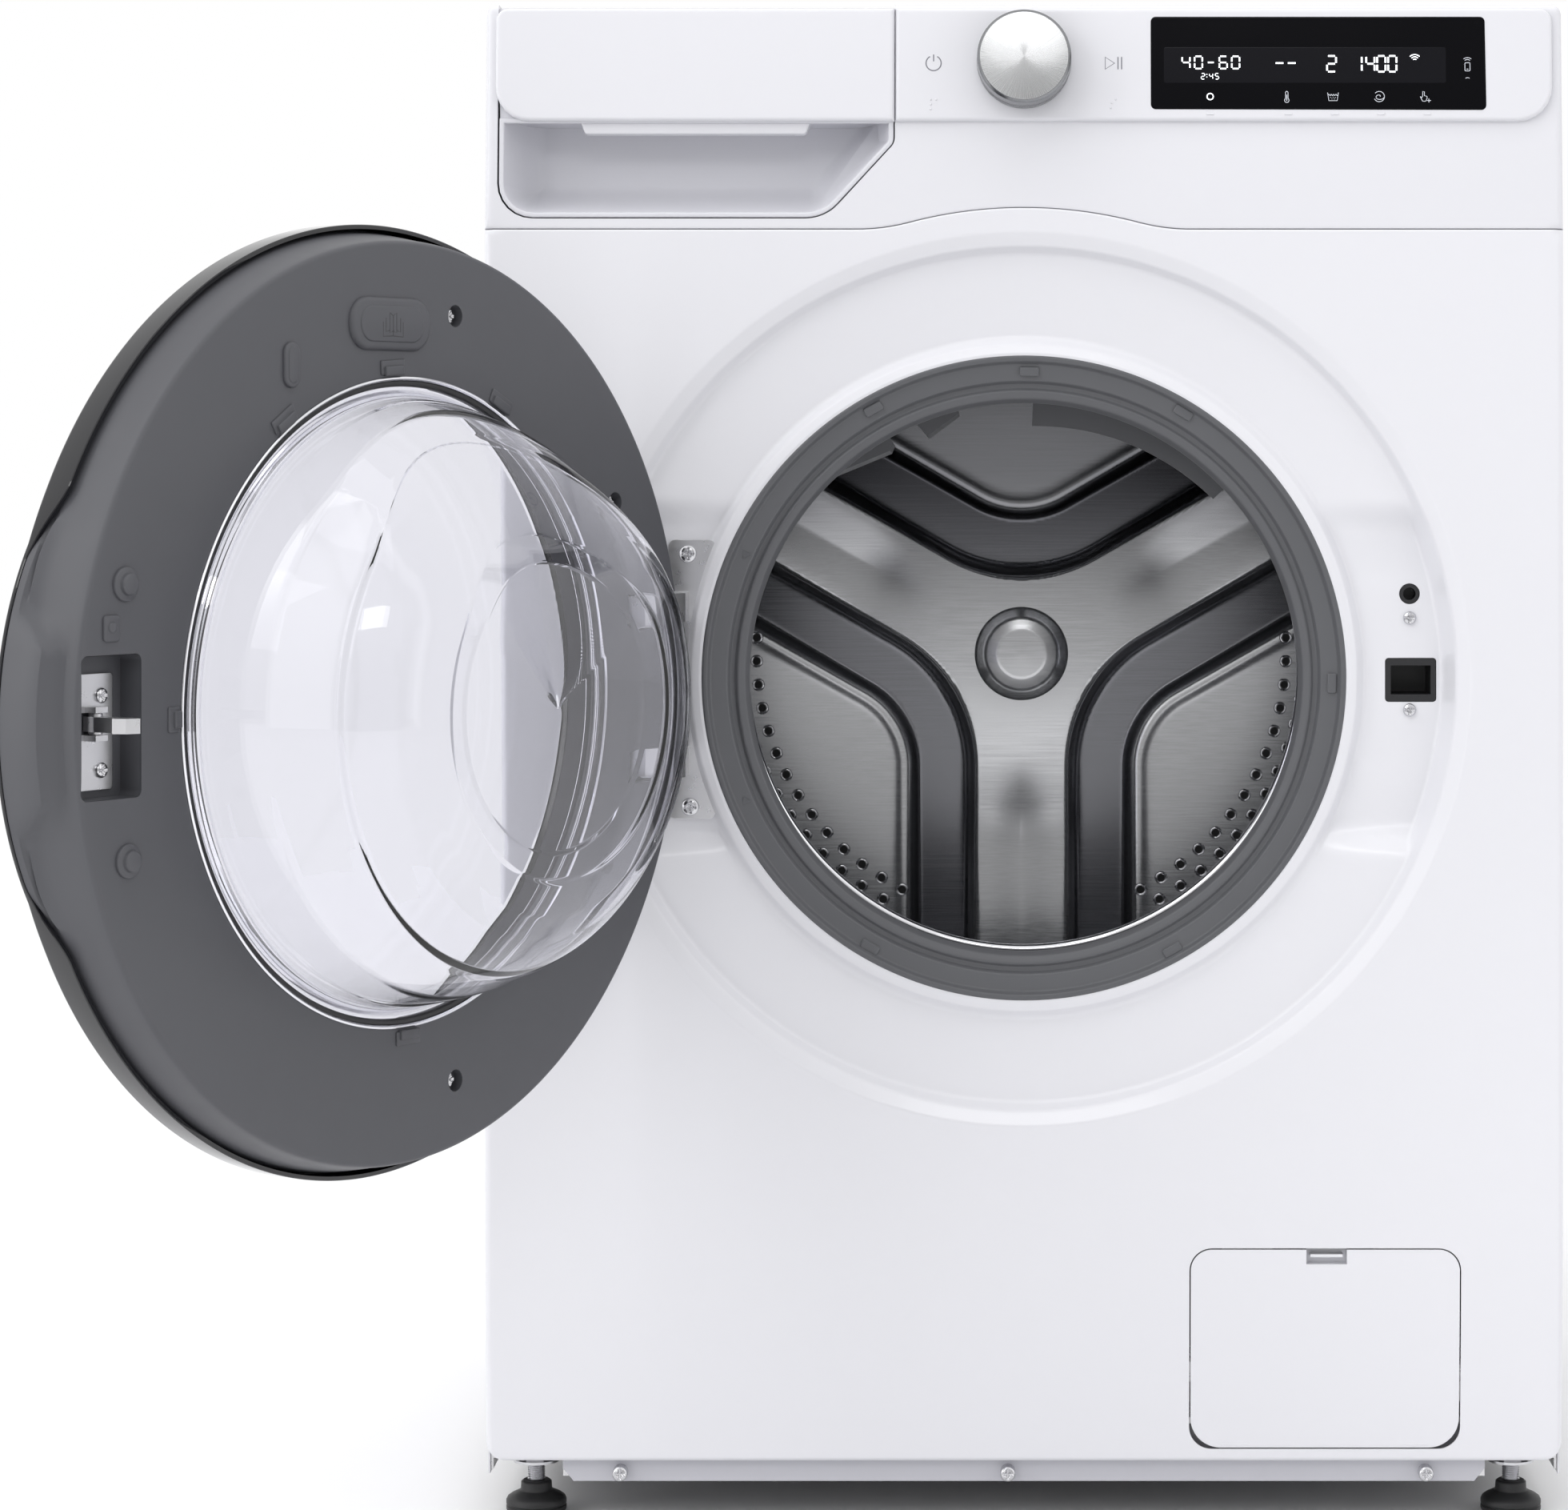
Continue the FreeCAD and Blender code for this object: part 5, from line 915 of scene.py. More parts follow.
def rounded_plate(points, radii, t_base, t_top, edge_side, edge_down, cap_back=True):
    """Plate with a rounded front edge, edge_side wide and edge_down deep."""
    sense = math.copysign(1, t_base - t_top)
    rows = [[(x, FRONT + t_base, z) for x, z in inset_outline(points, 0, radii)]]
    for k in range(6):
        a = math.pi / 2 * k / 5
        outline = inset_outline(points, edge_side * (1 - math.cos(a)), radii)
        rows.append([(x, FRONT + t_top + sense * edge_down * (1 - math.sin(a)), z) for x, z in outline])
    outline = inset_outline(points, edge_side + 0.6, radii)
    rows.append([(x, FRONT + t_top, z) for x, z in outline])
    return loft(rows, cap_first=cap_back, cap_last=True)


PAD_TOP, PAD_LOW = 847.6, 784.0
DRAWER_X = -72.0
SCOOP = [(-72.6, 786.0), (-72.6, 772.5), (-111.0, 730.6), (-292.0, 730.6), (-292.0, 786.0)]
SCOOP_RADII = [0, 7, 24, 19, 0]


def console_outline(inset):
    """Edge of the console: arched seam below, rounded corners above."""
    corner, top = 7.0, 850.3
    reach = max(0.2, corner - inset)
    side = HALF - inset
    arc = [math.radians(90 * k / 6) for k in range(7)]
    low = seam_height(HALF) + 0.5 + inset
    outline = [(side * u, seam_height(side * u) + 0.5 + inset) for u in np.linspace(-1, 1, 121)]
    outline += [(side, low + (top - corner - low) * v) for v in np.linspace(0, 1, 10)[1:-1]]
    outline += [(side - reach + reach * math.cos(a), top - corner + reach * math.sin(a)) for a in arc]
    outline += [(-side + reach - reach * math.sin(a), top - corner + reach * math.cos(a)) for a in arc]
    outline += [(-side, low + (top - corner - low) * v) for v in np.linspace(1, 0, 10)[1:-1]]
    return outline


def make_console():
    """Console moulding round the drawer opening, with the raised fascia pad on its right."""
    rows = [[(x, FRONT + 19.8, z) for x, z in console_outline(0)]]
    rows.append([(x, FRONT + 4.0, z) for x, z in console_outline(0)])
    for inset in (0.0, 0.12, 0.35, 0.8, 1.4, 2.2, 3.2, 4.4):
        row = []
        for x, z in console_outline(inset):
            depth = edge_drop(HALF - abs(x), 4.0) + edge_drop(z - seam_height(x) - 0.5, 0.7)
            depth += edge_drop(850.3 - z, 4.0)
            row.append((x, FRONT + min(depth, 4.0), z))
        rows.append(row)
    verts, faces = loft(rows, cap_first=True, cap_last=True)
    shell = piece("console_shell", "cabinet", verts, faces, MAT["fascia"],
                  replaces=["console"])
    right, left, over = DRAWER_X + 0.1, -292.9, 852.0
    gap = [(right, over), (right, 772.3), (-110.6, 729.9), (left, 729.9), (left, over)]
    opening = inset_outline(gap, -0.05, [0, 7.5, 24.5, 19.6, 0])
    cut(shell, [prism(opening, -8, 30)])
    shell.data.transform(metres(LEANED))
    pad = [(DRAWER_X + 0.5, PAD_TOP), (294.2, PAD_TOP), (294.2, PAD_LOW), (DRAWER_X + 0.5, PAD_LOW)]
    verts, faces = rounded_plate(pad, [0, 7, 19.5, 0], 1.0, -PAD_PROUD, 1.9, 2.9)
    piece("fascia_pad", "cabinet", verts, faces, MAT["fascia"], LEANED)


def metres(matrix):
    """The same move for a mesh that is already in metres."""
    moved_matrix = matrix.copy()
    moved_matrix.translation = matrix.translation * MM
    return moved_matrix


def make_drawer():
    """Drawer front: raised pad above, and a finger scoop whose floor rises to the rim in one curve."""
    pad = [(-294.2, PAD_TOP), (DRAWER_X, PAD_TOP), (DRAWER_X, PAD_LOW), (-294.2, PAD_LOW)]
    verts, faces = rounded_plate(pad, [7, 0, 0, 19.5], 1.5, -PAD_PROUD, 1.9, 2.9)
    made = piece("drawer_pad", "drawer", verts, faces, MAT["fascia"], LEANED,
                 replaces=["drawer_front"])
    rows = [[(x, FRONT + 3.0, z) for x, z in inset_outline(SCOOP, 0.0, SCOOP_RADII)]]
    for inset, t in ((0.0, 0.5), (0.15, 0.15), (0.5, 0.0), (2.0, 0.0), (2.4, 0.1), (2.7, 0.5), (2.8, 1.0)):
        rows.append([(x, FRONT + t, z) for x, z in inset_outline(SCOOP, inset, SCOOP_RADII)])
    for k in range(1, 15):
        share = k / 14
        inset = 2.8 + 20.0 * share
        t = 1.0 + 35.0 * math.sin(share * math.pi / 2) ** 0.8
        row = []
        for x, z in inset_outline(SCOOP, inset, SCOOP_RADII):
            row.append((x, FRONT + t, min(785.9, z + inset) if z > 786.0 - inset - 0.5 else z))
        rows.append(row)
    verts, faces = loft(rows, cap_last=True)
    piece("drawer_scoop", "drawer", verts, faces, MAT["scoop"], LEANED, sharp=50)
    rib = [(-247.0, 784.5), (-119.0, 784.5), (-121.5, 777.5), (-244.5, 777.5)]
    verts, faces = rounded_plate(rib, [0, 1, 2, 2], 8.0, 1.6, 0.8, 1.0)
    piece("drawer_rib", "drawer", verts, faces, MAT["fascia"], LEANED)
    top = [(-294.0, FRONT + 1.5, 847.4), (DRAWER_X, FRONT + 1.5, 847.4)]
    back = [(x, FRONT + 5.0, z) for x, _, z in top]
    floor = [(-291.6, FRONT + 5.0, 784.0), (DRAWER_X - 0.5, FRONT + 5.0, 784.0)]
    front_low = [(x, FRONT + 1.5, z) for x, _, z in floor]
    verts = top + back + floor + front_low
    faces = [(0, 1, 3, 2), (2, 3, 5, 4), (4, 5, 7, 6), (6, 7, 1, 0), (0, 2, 4, 6), (1, 7, 5, 3)]
    piece("drawer_back_plate", "drawer", verts, faces, MAT["scoop"], LEANED)
    return made


def ribbon(path, width, t, closed=False):
    """Flat stroke of the given width along (x, z) points, a hair proud of depth t."""
    points = [np.array(p, float) for p in path]
    count = len(points)
    left, right = [], []
    for k in range(count):
        before = points[k - 1] if (closed or k > 0) else points[k]
        after = points[(k + 1) % count] if (closed or k < count - 1) else points[k]
        along = after - before
        along = along / max(1e-9, np.linalg.norm(along))
        normal = np.array([-along[1], along[0]]) * width / 2
        left.append(points[k] + normal)
        right.append(points[k] - normal)
    verts = []
    for depth in (t + 0.12, t):
        verts += [(p[0], FRONT + depth, p[1]) for p in left]
        verts += [(p[0], FRONT + depth, p[1]) for p in right]
    faces = []
    for k in range(count if closed else count - 1):
        n = (k + 1) % count
        faces.append((2 * count + k, 2 * count + n, 3 * count + n, 3 * count + k))
        faces.append((k, n, 2 * count + n, 2 * count + k))
        faces.append((count + k, 3 * count + k, 3 * count + n, count + n))
    return verts, faces


def arc(x, z, radius, start, end, steps=20):
    """Points of an arc between two angles in degrees."""
    turns = [math.radians(start + (end - start) * k / steps) for k in range(steps + 1)]
    return [(x + radius * math.cos(a), z + radius * math.sin(a)) for a in turns]


SEGMENTS = {
    "0": "abcdef", "1": "bc", "2": "abged", "4": "fgbc", "5": "afgcd", "6": "afgcde", "-": "g",
}


def digit(text, x, z, wide, high, stroke, t):
    """One seven-segment character whose lower left corner is (x, z)."""
    gap = stroke * 0.62
    corners = {
        "a": ((x + gap, z + high), (x + wide - gap, z + high)),
        "b": ((x + wide, z + high - gap), (x + wide, z + high / 2 + gap)),
        "c": ((x + wide, z + high / 2 - gap), (x + wide, z + gap)),
        "d": ((x + wide - gap, z), (x + gap, z)),
        "e": ((x, z + gap), (x, z + high / 2 - gap)),
        "f": ((x, z + high / 2 + gap), (x, z + high - gap)),
        "g": ((x + gap, z + high / 2), (x + wide - gap, z + high / 2)),
    }
    return [ribbon(corners[name], stroke, t) for name in SEGMENTS[text]]


def make_display():
    """Black display glass with lit digits, and the dim icons of its touch keys."""
    x0, x1, z0, z1 = 70.5, 256.5, 790.5, 842.5
    glass = [(x0, z1), (x1, z1), (x1 + 0.6, z0 - 0.4), (x0, z0)]
    verts, faces = rounded_plate(glass, [2.8, 2.8, 2.8, 2.8], -2.0, -PAD_PROUD - 0.25, 0.3, 0.25)
    piece("display_glass", "cabinet", verts, faces, MAT["display"], LEANED,
          replaces=["display_window"])
    t = -PAD_PROUD - 0.30
    verts, faces = rounded_plate([(77.8, 825.3), (234.7, 825.3), (234.7, 805.3), (77.8, 805.3)],
                                 [1.2] * 4, t + 0.1, t, 0.05, 0.03)
    piece("display_field", "cabinet", verts, faces, MAT["display_field"], LEANED)
    t -= 0.02
    lit = []
    for k, text in enumerate("40-60"):
        lit += digit(text, 88.0 + k * 6.9, 813.3, 4.3, 6.9, 0.8, t)
    for k, text in enumerate("245"):
        lit += digit(text, 98.6 + k * 3.3 + (1.2 if k else 0), 807.4, 1.9, 3.2, 0.42, t)
    for z in (808.3, 809.8):
        lit.append(ribbon([(101.7, z), (101.7, z + 0.5)], 0.5, t))
    for x in (140.0, 146.8):
        lit.append(ribbon([(x, 816.4), (x + 4.3, 816.4)], 0.9, t))
    lit += digit("2", 168.6, 811.6, 5.0, 8.8, 0.95, t)
    for k, text in enumerate("1400"):
        lit += digit(text, 184.3 + k * 6.1 - (1.0 if k == 0 else 0), 811.6, 4.6, 8.8, 0.95, t)
    for radius in (1.2, 2.5, 3.8):
        lit.append(ribbon(arc(217.4, 817.4, radius, 45, 135, 10), 0.5, t))
    lit.append(ribbon(arc(103.5, 797.6, 1.75, 0, 345, 24), 0.55, t, closed=True))
    verts, faces = join(lit)
    piece("display_digits", "cabinet", verts, faces, MAT["lit"], LEANED)
    t = -PAD_PROUD - 0.29
    dim = thermometer(146.1, 797.4, t) + wash_tub(171.8, 797.6, t) + spiral(197.5, 797.6, t)
    dim += hand(222.4, 797.4, t) + phone(246.7, 815.6, t)
    verts, faces = join(dim)
    piece("display_icons", "cabinet", verts, faces, MAT["lit_soft"], LEANED)


def thermometer(x, z, t):
    """Icon of the temperature key."""
    stem = arc(x, z - 1.9, 1.25, 125, 415, 16) + [(x + 0.7, z + 2.4)] + arc(x, z + 2.4, 0.7, 0, 180, 8)
    return [ribbon(stem, 0.3, t, closed=True), ribbon([(x, z - 2.2), (x, z + 1.2)], 0.4, t)]


def wash_tub(x, z, t):
    """Icon of the rinse key."""
    sides = [(x - 3.0, z + 2.2), (x - 2.3, z - 2.3), (x + 2.3, z - 2.3), (x + 3.0, z + 2.2)]
    wave = [(x - 2.6 + 0.26 * k, z + 0.9 + 0.4 * math.sin(k * 1.25)) for k in range(21)]
    dots = [ribbon([(x + dx - 0.16, z + dz), (x + dx + 0.16, z + dz)], 0.34, t)
            for dx, dz in ((-1.2, -0.5), (0.1, -0.4), (1.3, -0.5), (-0.6, -1.4), (0.7, -1.4))]
    return [ribbon(sides, 0.3, t), ribbon(wave, 0.3, t)] + dots


def spiral(x, z, t):
    """Icon of the spin key."""
    turns = []
    for degrees in range(0, 361, 15):
        a = math.radians(degrees)
        turns.append((x + (0.5 + 0.0066 * degrees) * math.cos(a), z + (0.5 + 0.0042 * degrees) * math.sin(a)))
    outer = arc(x, z, 2.9, 205, 500, 26)
    return [ribbon(turns, 0.3, t), ribbon(outer, 0.3, t)]


def hand(x, z, t):
    """Icon of the extras key: a pointing hand and a plus."""
    outline = ((-2.1, 0.2), (-1.3, -0.4), (-0.7, 0.3), (-0.7, 3.0), (0.2, 3.0), (0.2, 0.7), (1.7, 0.3),
               (1.7, -0.9), (0.9, -2.4), (-0.8, -2.4), (-2.1, 0.2))
    palm = [(x + dx, z + dz) for dx, dz in outline]
    plus = [ribbon([(x + 1.6, z - 2.0), (x + 3.8, z - 2.0)], 0.32, t),
            ribbon([(x + 2.7, z - 3.1), (x + 2.7, z - 0.9)], 0.32, t)]
    return [ribbon(palm, 0.3, t)] + plus


def phone(x, z, t):
    """Icon of the remote key: a telephone under two waves, over a short bar."""
    body = rounded_rect(x - 1.4, x + 1.4, z - 3.6, z + 1.0, 0.5, 0, 3)
    waves = [ribbon(arc(x, z + 0.6, radius, 50, 130, 8), 0.3, t) for radius in (2.2, 3.3)]
    under = ribbon(arc(x, z - 9.6, 2.2, 60, 120, 8), 0.3, t)
    return [ribbon(body, 0.3, t, closed=True), ribbon([(x - 0.5, z - 2.6), (x + 0.5, z - 2.6)], 0.3, t),
            under] + waves


POWER_X = -50.3


def make_fascia_marks():
    """Printed power and start marks, and the raised dots and ridges under the keys."""
    t = -PAD_PROUD - 0.02
    line, z = 0.7, 816.4
    x = POWER_X
    power = [ribbon(arc(x, z, 4.2, 118, 422, 40), line, t), ribbon([(x, 817.4), (x, 821.3)], line, t)]
    x = 47.4
    triangle = [(x - 2.2, z + 3.4), (x + 3.0, z), (x - 2.2, z - 3.4)]
    start = [ribbon(triangle, line, t, closed=True)]
    start += [ribbon([(x + dx, z + 3.5), (x + dx, z - 3.5)], line, t) for dx in (4.9, 6.9)]
    verts, faces = join(power + start)
    piece("fascia_prints", "cabinet", verts, faces, MAT["mark"], LEANED)
    raised = []
    dome = [(0.62, -3.45), (0.55, -3.72), (0.34, -3.9), (0.05, -3.96)]
    dots = [(POWER_X + dx, dz) for dx, dz in ((-1.5, 3.0), (1.5, 3.0), (-1.5, 0.3), (-1.5, -2.4))]
    dots += [(49.5 + dx, dz) for dx, dz in ((1.5, 3.0), (-0.6, 1.0), (-1.2, -1.8))]
    for x, dz in dots:
        raised.append(lathe(dome, 12, x, 793.0 + dz, cap_last=True))
    for x in (103.5, 147.0, 172.7, 198.4, 224.1):
        raised.append(slab(x - 2.2, x + 2.2, 787.3, 788.5, 0.5, -3.4, -3.95, 0.3))
    verts, faces = join(raised)
    piece("fascia_dots", "cabinet", verts, faces, MAT["fascia"], LEANED)


# ---------------------------------------------------------------- door, built closed and swung open
FRAME_R = 232.4
COVER_R = 240.9
HINGE_ARMS = (40.0, -46.0)


def grip_radius(angle):
    """Radius of the door's outside with the hand grip, which bulges on the latch side."""
    grip_x, grip_r = 69.4, 176.6
    across = grip_x * math.sin(angle)
    bulge = grip_x * math.cos(angle) + math.sqrt(grip_r ** 2 - across ** 2)
    return bulge if math.cos(angle) > 0.5 else 0.0


def grip_share(angle):
    """1 in the middle of the grip, 0 outside it."""
    return float(smoothstep(235.0, 241.5, grip_radius(angle)))


def mixed(path, other, share):
    """Path that lies between two others of the same count."""
    return [(r0 + (r1 - r0) * share, t0 + (t1 - t0) * share) for (r0, t0), (r1, t1) in zip(path, other)]


def make_door_inner():
    """Inner moulding: flat ring, rolled rim, side wall and the soft recess behind the hand grip."""
    columns = 480
    hole, face = 163.4, DOOR_FACE_T
    flat = rounded_path([(hole, -20.0), (hole, face), (FRAME_R - 0.5, face), (FRAME_R + 0.6, 3.0)],
                        [0, 1.2, 3.6, 0], 6)
    flat = flat[:8] + [(180.0, face), (200.0, face), (220.0, face)] + flat[8:]
    plain = [(233.4, -1.0), (234.3, -5.0), (235.1, -9.0), (235.9, -13.0), (236.6, -17.0), (237.4, -21.0),
             (238.0, -24.0), (238.2, -26.0)]
    rows = [[] for _ in range(len(flat) + len(plain))]
    for k in range(columns):
        a = 2 * math.pi * k / columns
        share = grip_share(a)
        z = abs(240.0 * math.sin(a))
        reach = max(grip_radius(a), 238.0)
        hollow = float(smoothstep(33, 55, z) * smoothstep(112, 92, z))
        full = [(233.6, 0.2), (235.8, -1.8), (239.5, -3.2), (reach - 4.5, -4.4), (reach - 1.6, -6.0),
                (reach - 0.4, -9.5), (reach, -18.0), (reach + 0.2, -27.6)]
        scooped = [(233.9, -2.0), (234.9, -8.0), (235.9, -14.5), (237.6, -19.5), (240.0, -22.0),
                   (reach - 3.0, -23.0), (reach - 0.8, -24.4), (reach + 0.2, -27.6)]
        path = list(flat) + mixed(plain, mixed(full, scooped, hollow), share)
        for row, (r, t) in zip(rows, path):
            row.append((r * math.cos(a), FRONT + t, AXIS_Z + r * math.sin(a)))
    back = []
    for inner_r, t in ((228.0, -24.0), (170.0, -20.0)):
        back.append([(inner_r * math.cos(2 * math.pi * k / columns), FRONT + t,
                      AXIS_Z + inner_r * math.sin(2 * math.pi * k / columns)) for k in range(columns)])
    verts, faces = loft(rows + back, close_rows=True)
    made = piece("door_inner", "door", verts, faces, MAT["door_grey"], replaces=["door_frame"])
    cutters = [prism(rounded_rect(190.0, 229.0, AXIS_Z - 34.8, AXIS_Z + 32.0, 3.5), -7.0, 12.0)]
    for z in (AXIS_Z + arm for arm in HINGE_ARMS):
        cutters.append(prism(rounded_rect(-250.0, -184.0, z - 9.5, z + 9.5, 1.5), -30.0, 12.0))
    for x, z in DOOR_SCREWS:
        cutters.append(prism(circle(x, AXIS_Z + z, 5.6), 1.6, 12.0))
    cut(made, cutters)
    made.data.transform(metres(OPEN))
    return made


DOOR_SCREWS = ((-37.6, 195.4), (-171.6, 98.8), (-171.6, -98.8), (-37.6, -195.4))


def make_door_cover():
    """Gloss outer bezel, notched for the hinge arms; under the grip it is only a thin back plate."""
    columns = 480
    rows = [[] for _ in range(15)]
    for k in range(columns):
        a = 2 * math.pi * k / columns
        share = grip_share(a)
        reach = max(COVER_R, grip_radius(a) + 0.9)
        rim_end = -15.0 - 12.8 * share
        height = COVER_R * math.sin(a)
        if math.cos(a) < 0 and any(abs(height - arm) < 9.5 for arm in HINGE_ARMS):
            rim_end = -26.5
        edge = 2.4 - 0.9 * share
        path = [(168.0, -24.0), (168.0, COVER_T + 1.0), (168.6, COVER_T + 0.3), (169.6, COVER_T)]
        path += [(200.0, COVER_T), (reach - 9, COVER_T)]
        for step in range(6):
            turn = math.pi / 2 * step / 5
            path.append((reach - edge * (1 - math.sin(turn)), COVER_T + edge * (1 - math.cos(turn))))
        path += [(reach, rim_end - 0.4), (reach - 0.4, rim_end), (reach - 2.2, rim_end)]
        for row, (r, t) in zip(rows, path):
            row.append((r * math.cos(a), FRONT + t, AXIS_Z + r * math.sin(a)))
    verts, faces = loft(rows)
    piece("door_bezel", "door", verts, faces, MAT["door_black"], OPEN, replaces=["door_cover"])


def make_door_marks():
    """Raised book tag, stops and clips on the inner face, and the liner of the latch pocket."""
    face = DOOR_FACE_T
    raised = [slab(-16.5, 44.7, AXIS_Z + 176.5, AXIS_Z + 203.5, 13.0, face - 0.5, face + 2.6, 2.6)]
    raised.append(slab(-9.5, 38.5, AXIS_Z + 181.0, AXIS_Z + 199.0, 8.8, face + 2.5, face + 3.2, 0.6))
    raised.append(slab(81.5, 92.7, AXIS_Z + 157.0, AXIS_Z + 179.5, 5.5, face - 0.3, face + 1.7, 1.0))
    raised.append(slab(83.9, 90.3, AXIS_Z + 159.4, AXIS_Z + 177.1, 3.1, face + 1.6, face + 2.1, 0.4))
    for x, z in ((200.8, 64.5), (199.0, -64.0)):
        profile = rounded_path([(8.2, face - 0.2), (8.0, face + 1.4), (6.0, face + 2.0), (5.4, face + 2.2),
                                (5.0, face + 4.6), (0.1, face + 4.8)], [0, 0.7, 0.4, 0.3, 1.2, 0], 4)
        raised.append(lathe(profile, 48, x, AXIS_Z + z, cap_last=True))
    raised.append(slab(205.0, 215.5, AXIS_Z + 38.0, AXIS_Z + 50.5, 2.2, face - 0.3, face + 1.4, 0.8))
    raised.append(slab(208.0, 213.0, AXIS_Z + 42.2, AXIS_Z + 47.2, 2.4, face + 1.3, face + 2.2, 0.6))
    for angle in (57, 86, 116, 0, -90):
        wide = 6.0 if angle == 0 else 9.0
        turn = Matrix.Translation((0, 0, AXIS_Z)) @ Matrix.Rotation(math.radians(90 - angle), 4, "Y")
        for half, z0, z1, up in ((wide, 165.2, 172.6, 1.0), (wide - 2, 164.6, 169.6, 2.3)):
            verts, faces = slab(-half, half, z0, z1, 0.8, face - 0.3, face + up, 0.6)
            raised.append((moved(verts, turn), faces))
    verts, faces = join(raised)
    piece("door_bosses", "door", verts, faces, MAT["door_grey"], OPEN)
    book = book_strokes(14.5, AXIS_Z + 190.0, face + 3.12)
    verts, faces = join(book)
    piece("door_book_mark", "door", verts, faces, MAT["door_line"], OPEN)
    walls = [[(x, FRONT + t, z) for x, z in rounded_rect(190.2, 228.8, AXIS_Z - 34.6, AXIS_Z + 31.8, 3.3)]
             for t in (6.6, -6.4)]
    verts, faces = loft(walls, cap_last=True)
    piece("latch_well", "door", verts, faces, MAT["door_grey"], OPEN)


def cross_screw(x, z, t, radius, sign=1):
    """Pan head with a cross recess; sign 1 faces the drum side, -1 the room."""
    turns = 48
    rows = []
    shape = [(radius, 0.0), (radius, 0.9), (radius * 0.93, 1.5), (radius * 0.75, 2.0), (radius * 0.5, 2.25),
             (radius * 0.22, 2.3), (0.05, 2.3)]
    for r, up in shape:
        row = []
        for k in range(turns):
            a = 2 * math.pi * k / turns
            px, pz = r * math.cos(a), r * math.sin(a)
            arm = min(abs(px), abs(pz))
            sunk = smoothstep(radius * 0.2, radius * 0.1, arm) * smoothstep(radius * 0.66, radius * 0.5, r)
            row.append((x + px, FRONT + t + sign * (up - 1.1 * float(sunk)), z + pz))
        rows.append(row)
    return loft(rows, cap_last=True)


def make_screws():
    """Screw heads of the door, the latch, the hinge and the lock."""
    door = [cross_screw(x, AXIS_Z + z, 1.5, 4.3) for x, z in DOOR_SCREWS]
    door += [cross_screw(205.0, AXIS_Z + z, -4.5, 3.7) for z in (12.8, -21.9)]
    verts, faces = join(door)
    piece("door_screw_heads", "door", verts, faces, MAT["screw"], OPEN, 40, ["door_screws"])
    front = [cross_screw(x, AXIS_Z + z, 17.0, 5.0, -1) for x, z in ((-188.0, 69.1), (-186.7, -72.4))]
    front += [cross_screw(216.0, AXIS_Z + z, 19.2, 3.7, -1) for z in (33.2, -18.3)]
    front += [cross_screw(x, 30.0, 11.2, 4.2, -1) for x in (-225.5, -9.0, 224.5)]
    verts, faces = join(front)
    piece("cabinet_screw_heads", "cabinet", verts, faces, MAT["screw"], STRAIGHT, 40)


def book_strokes(x, z, t):
    """Open book: two pages with a spine, drawn in raised lines seen from the drum side."""
    strokes = []
    for side in (-1, 1):
        strokes.append([(x, z - 3.6), (x + side * 2.6, z - 4.4), (x + side * 2.6, z + 5.6), (x, z + 4.0)])
        strokes.append([(x + side * 2.6, z - 3.2), (x + side * 5.6, z - 4.0), (x + side * 5.6, z + 3.0)])
        strokes.append([(x + side * 7.6, z + 1.0), (x + side * 7.6, z - 6.4), (x, z - 6.0)])
    strokes.append([(x, z - 6.0), (x, z + 4.0)])
    lines = []
    for path in strokes:
        verts, faces = ribbon(path, 0.7, t)
        lines.append(([(px, FRONT + t + (FRONT + t - py) + 0.1, pz) for px, py, pz in verts], faces))
    return lines


BOWL_FLANGE = [(163.0, 1.0), (163.0, 5.0), (157.5, 5.2)]
BOWL_SIDE = [(154.0, 9.0), (152.0, 20.0), (146.5, 44.0), (131.0, 84.0), (110.0, 104.0)]
BOWL_END = [(86.0, 107.4), (72.0, 105.0), (0.2, 104.2)]
BOWL_OUTER = rounded_path(BOWL_FLANGE + BOWL_SIDE + BOWL_END, [0, 0.8, 2.0, 2.5, 6, 30, 60, 22, 8, 8, 0], 10)
BOWL_WALL = 4.0


def bowl_facet(t, z, back):
    """Depth limited by the slanted top facet, with a soft edge."""
    limit = 105.0 - back - 0.86 * (z - 62.0)
    soft = 20.0
    blend_share = max(0.0, soft - abs(t - limit)) / soft
    return min(t, limit) - blend_share * blend_share * soft / 4


def make_bowl():
    """Moulded glass bowl with a slanted upper facet and a dished end."""
    segments = 256
    rows = []
    inner = [(r - BOWL_WALL * (0.9 if t < 80 else 0.35), t - (0.2 if t < 60 else BOWL_WALL * 0.85))
             for r, t in BOWL_OUTER[12:]]
    outer_rows = [(r, t, 0.0) for r, t in BOWL_OUTER]
    inner_rows = [(max(0.2, r), t, BOWL_WALL) for r, t in reversed(inner)]
    rim = [(151.0, 5.0, BOWL_WALL), (151.5, 1.0, 0.0)]
    for r, t, back in outer_rows + inner_rows + rim:
        row = []
        for k in range(segments):
            a = 2 * math.pi * k / segments
            z = r * math.sin(a)
            depth = bowl_facet(t, z, back) if t > 8 and z > 0 else t
            row.append((r * math.cos(a), FRONT + max(depth, 5.2) if t > 8 else FRONT + t, AXIS_Z + z))
        rows.append(row)
    verts, faces = loft(rows, close_rows=True)
    piece("door_bowl_glass", "door", verts, faces, MAT["bowl"], OPEN, sharp=70,
          replaces=["door_bowl"])


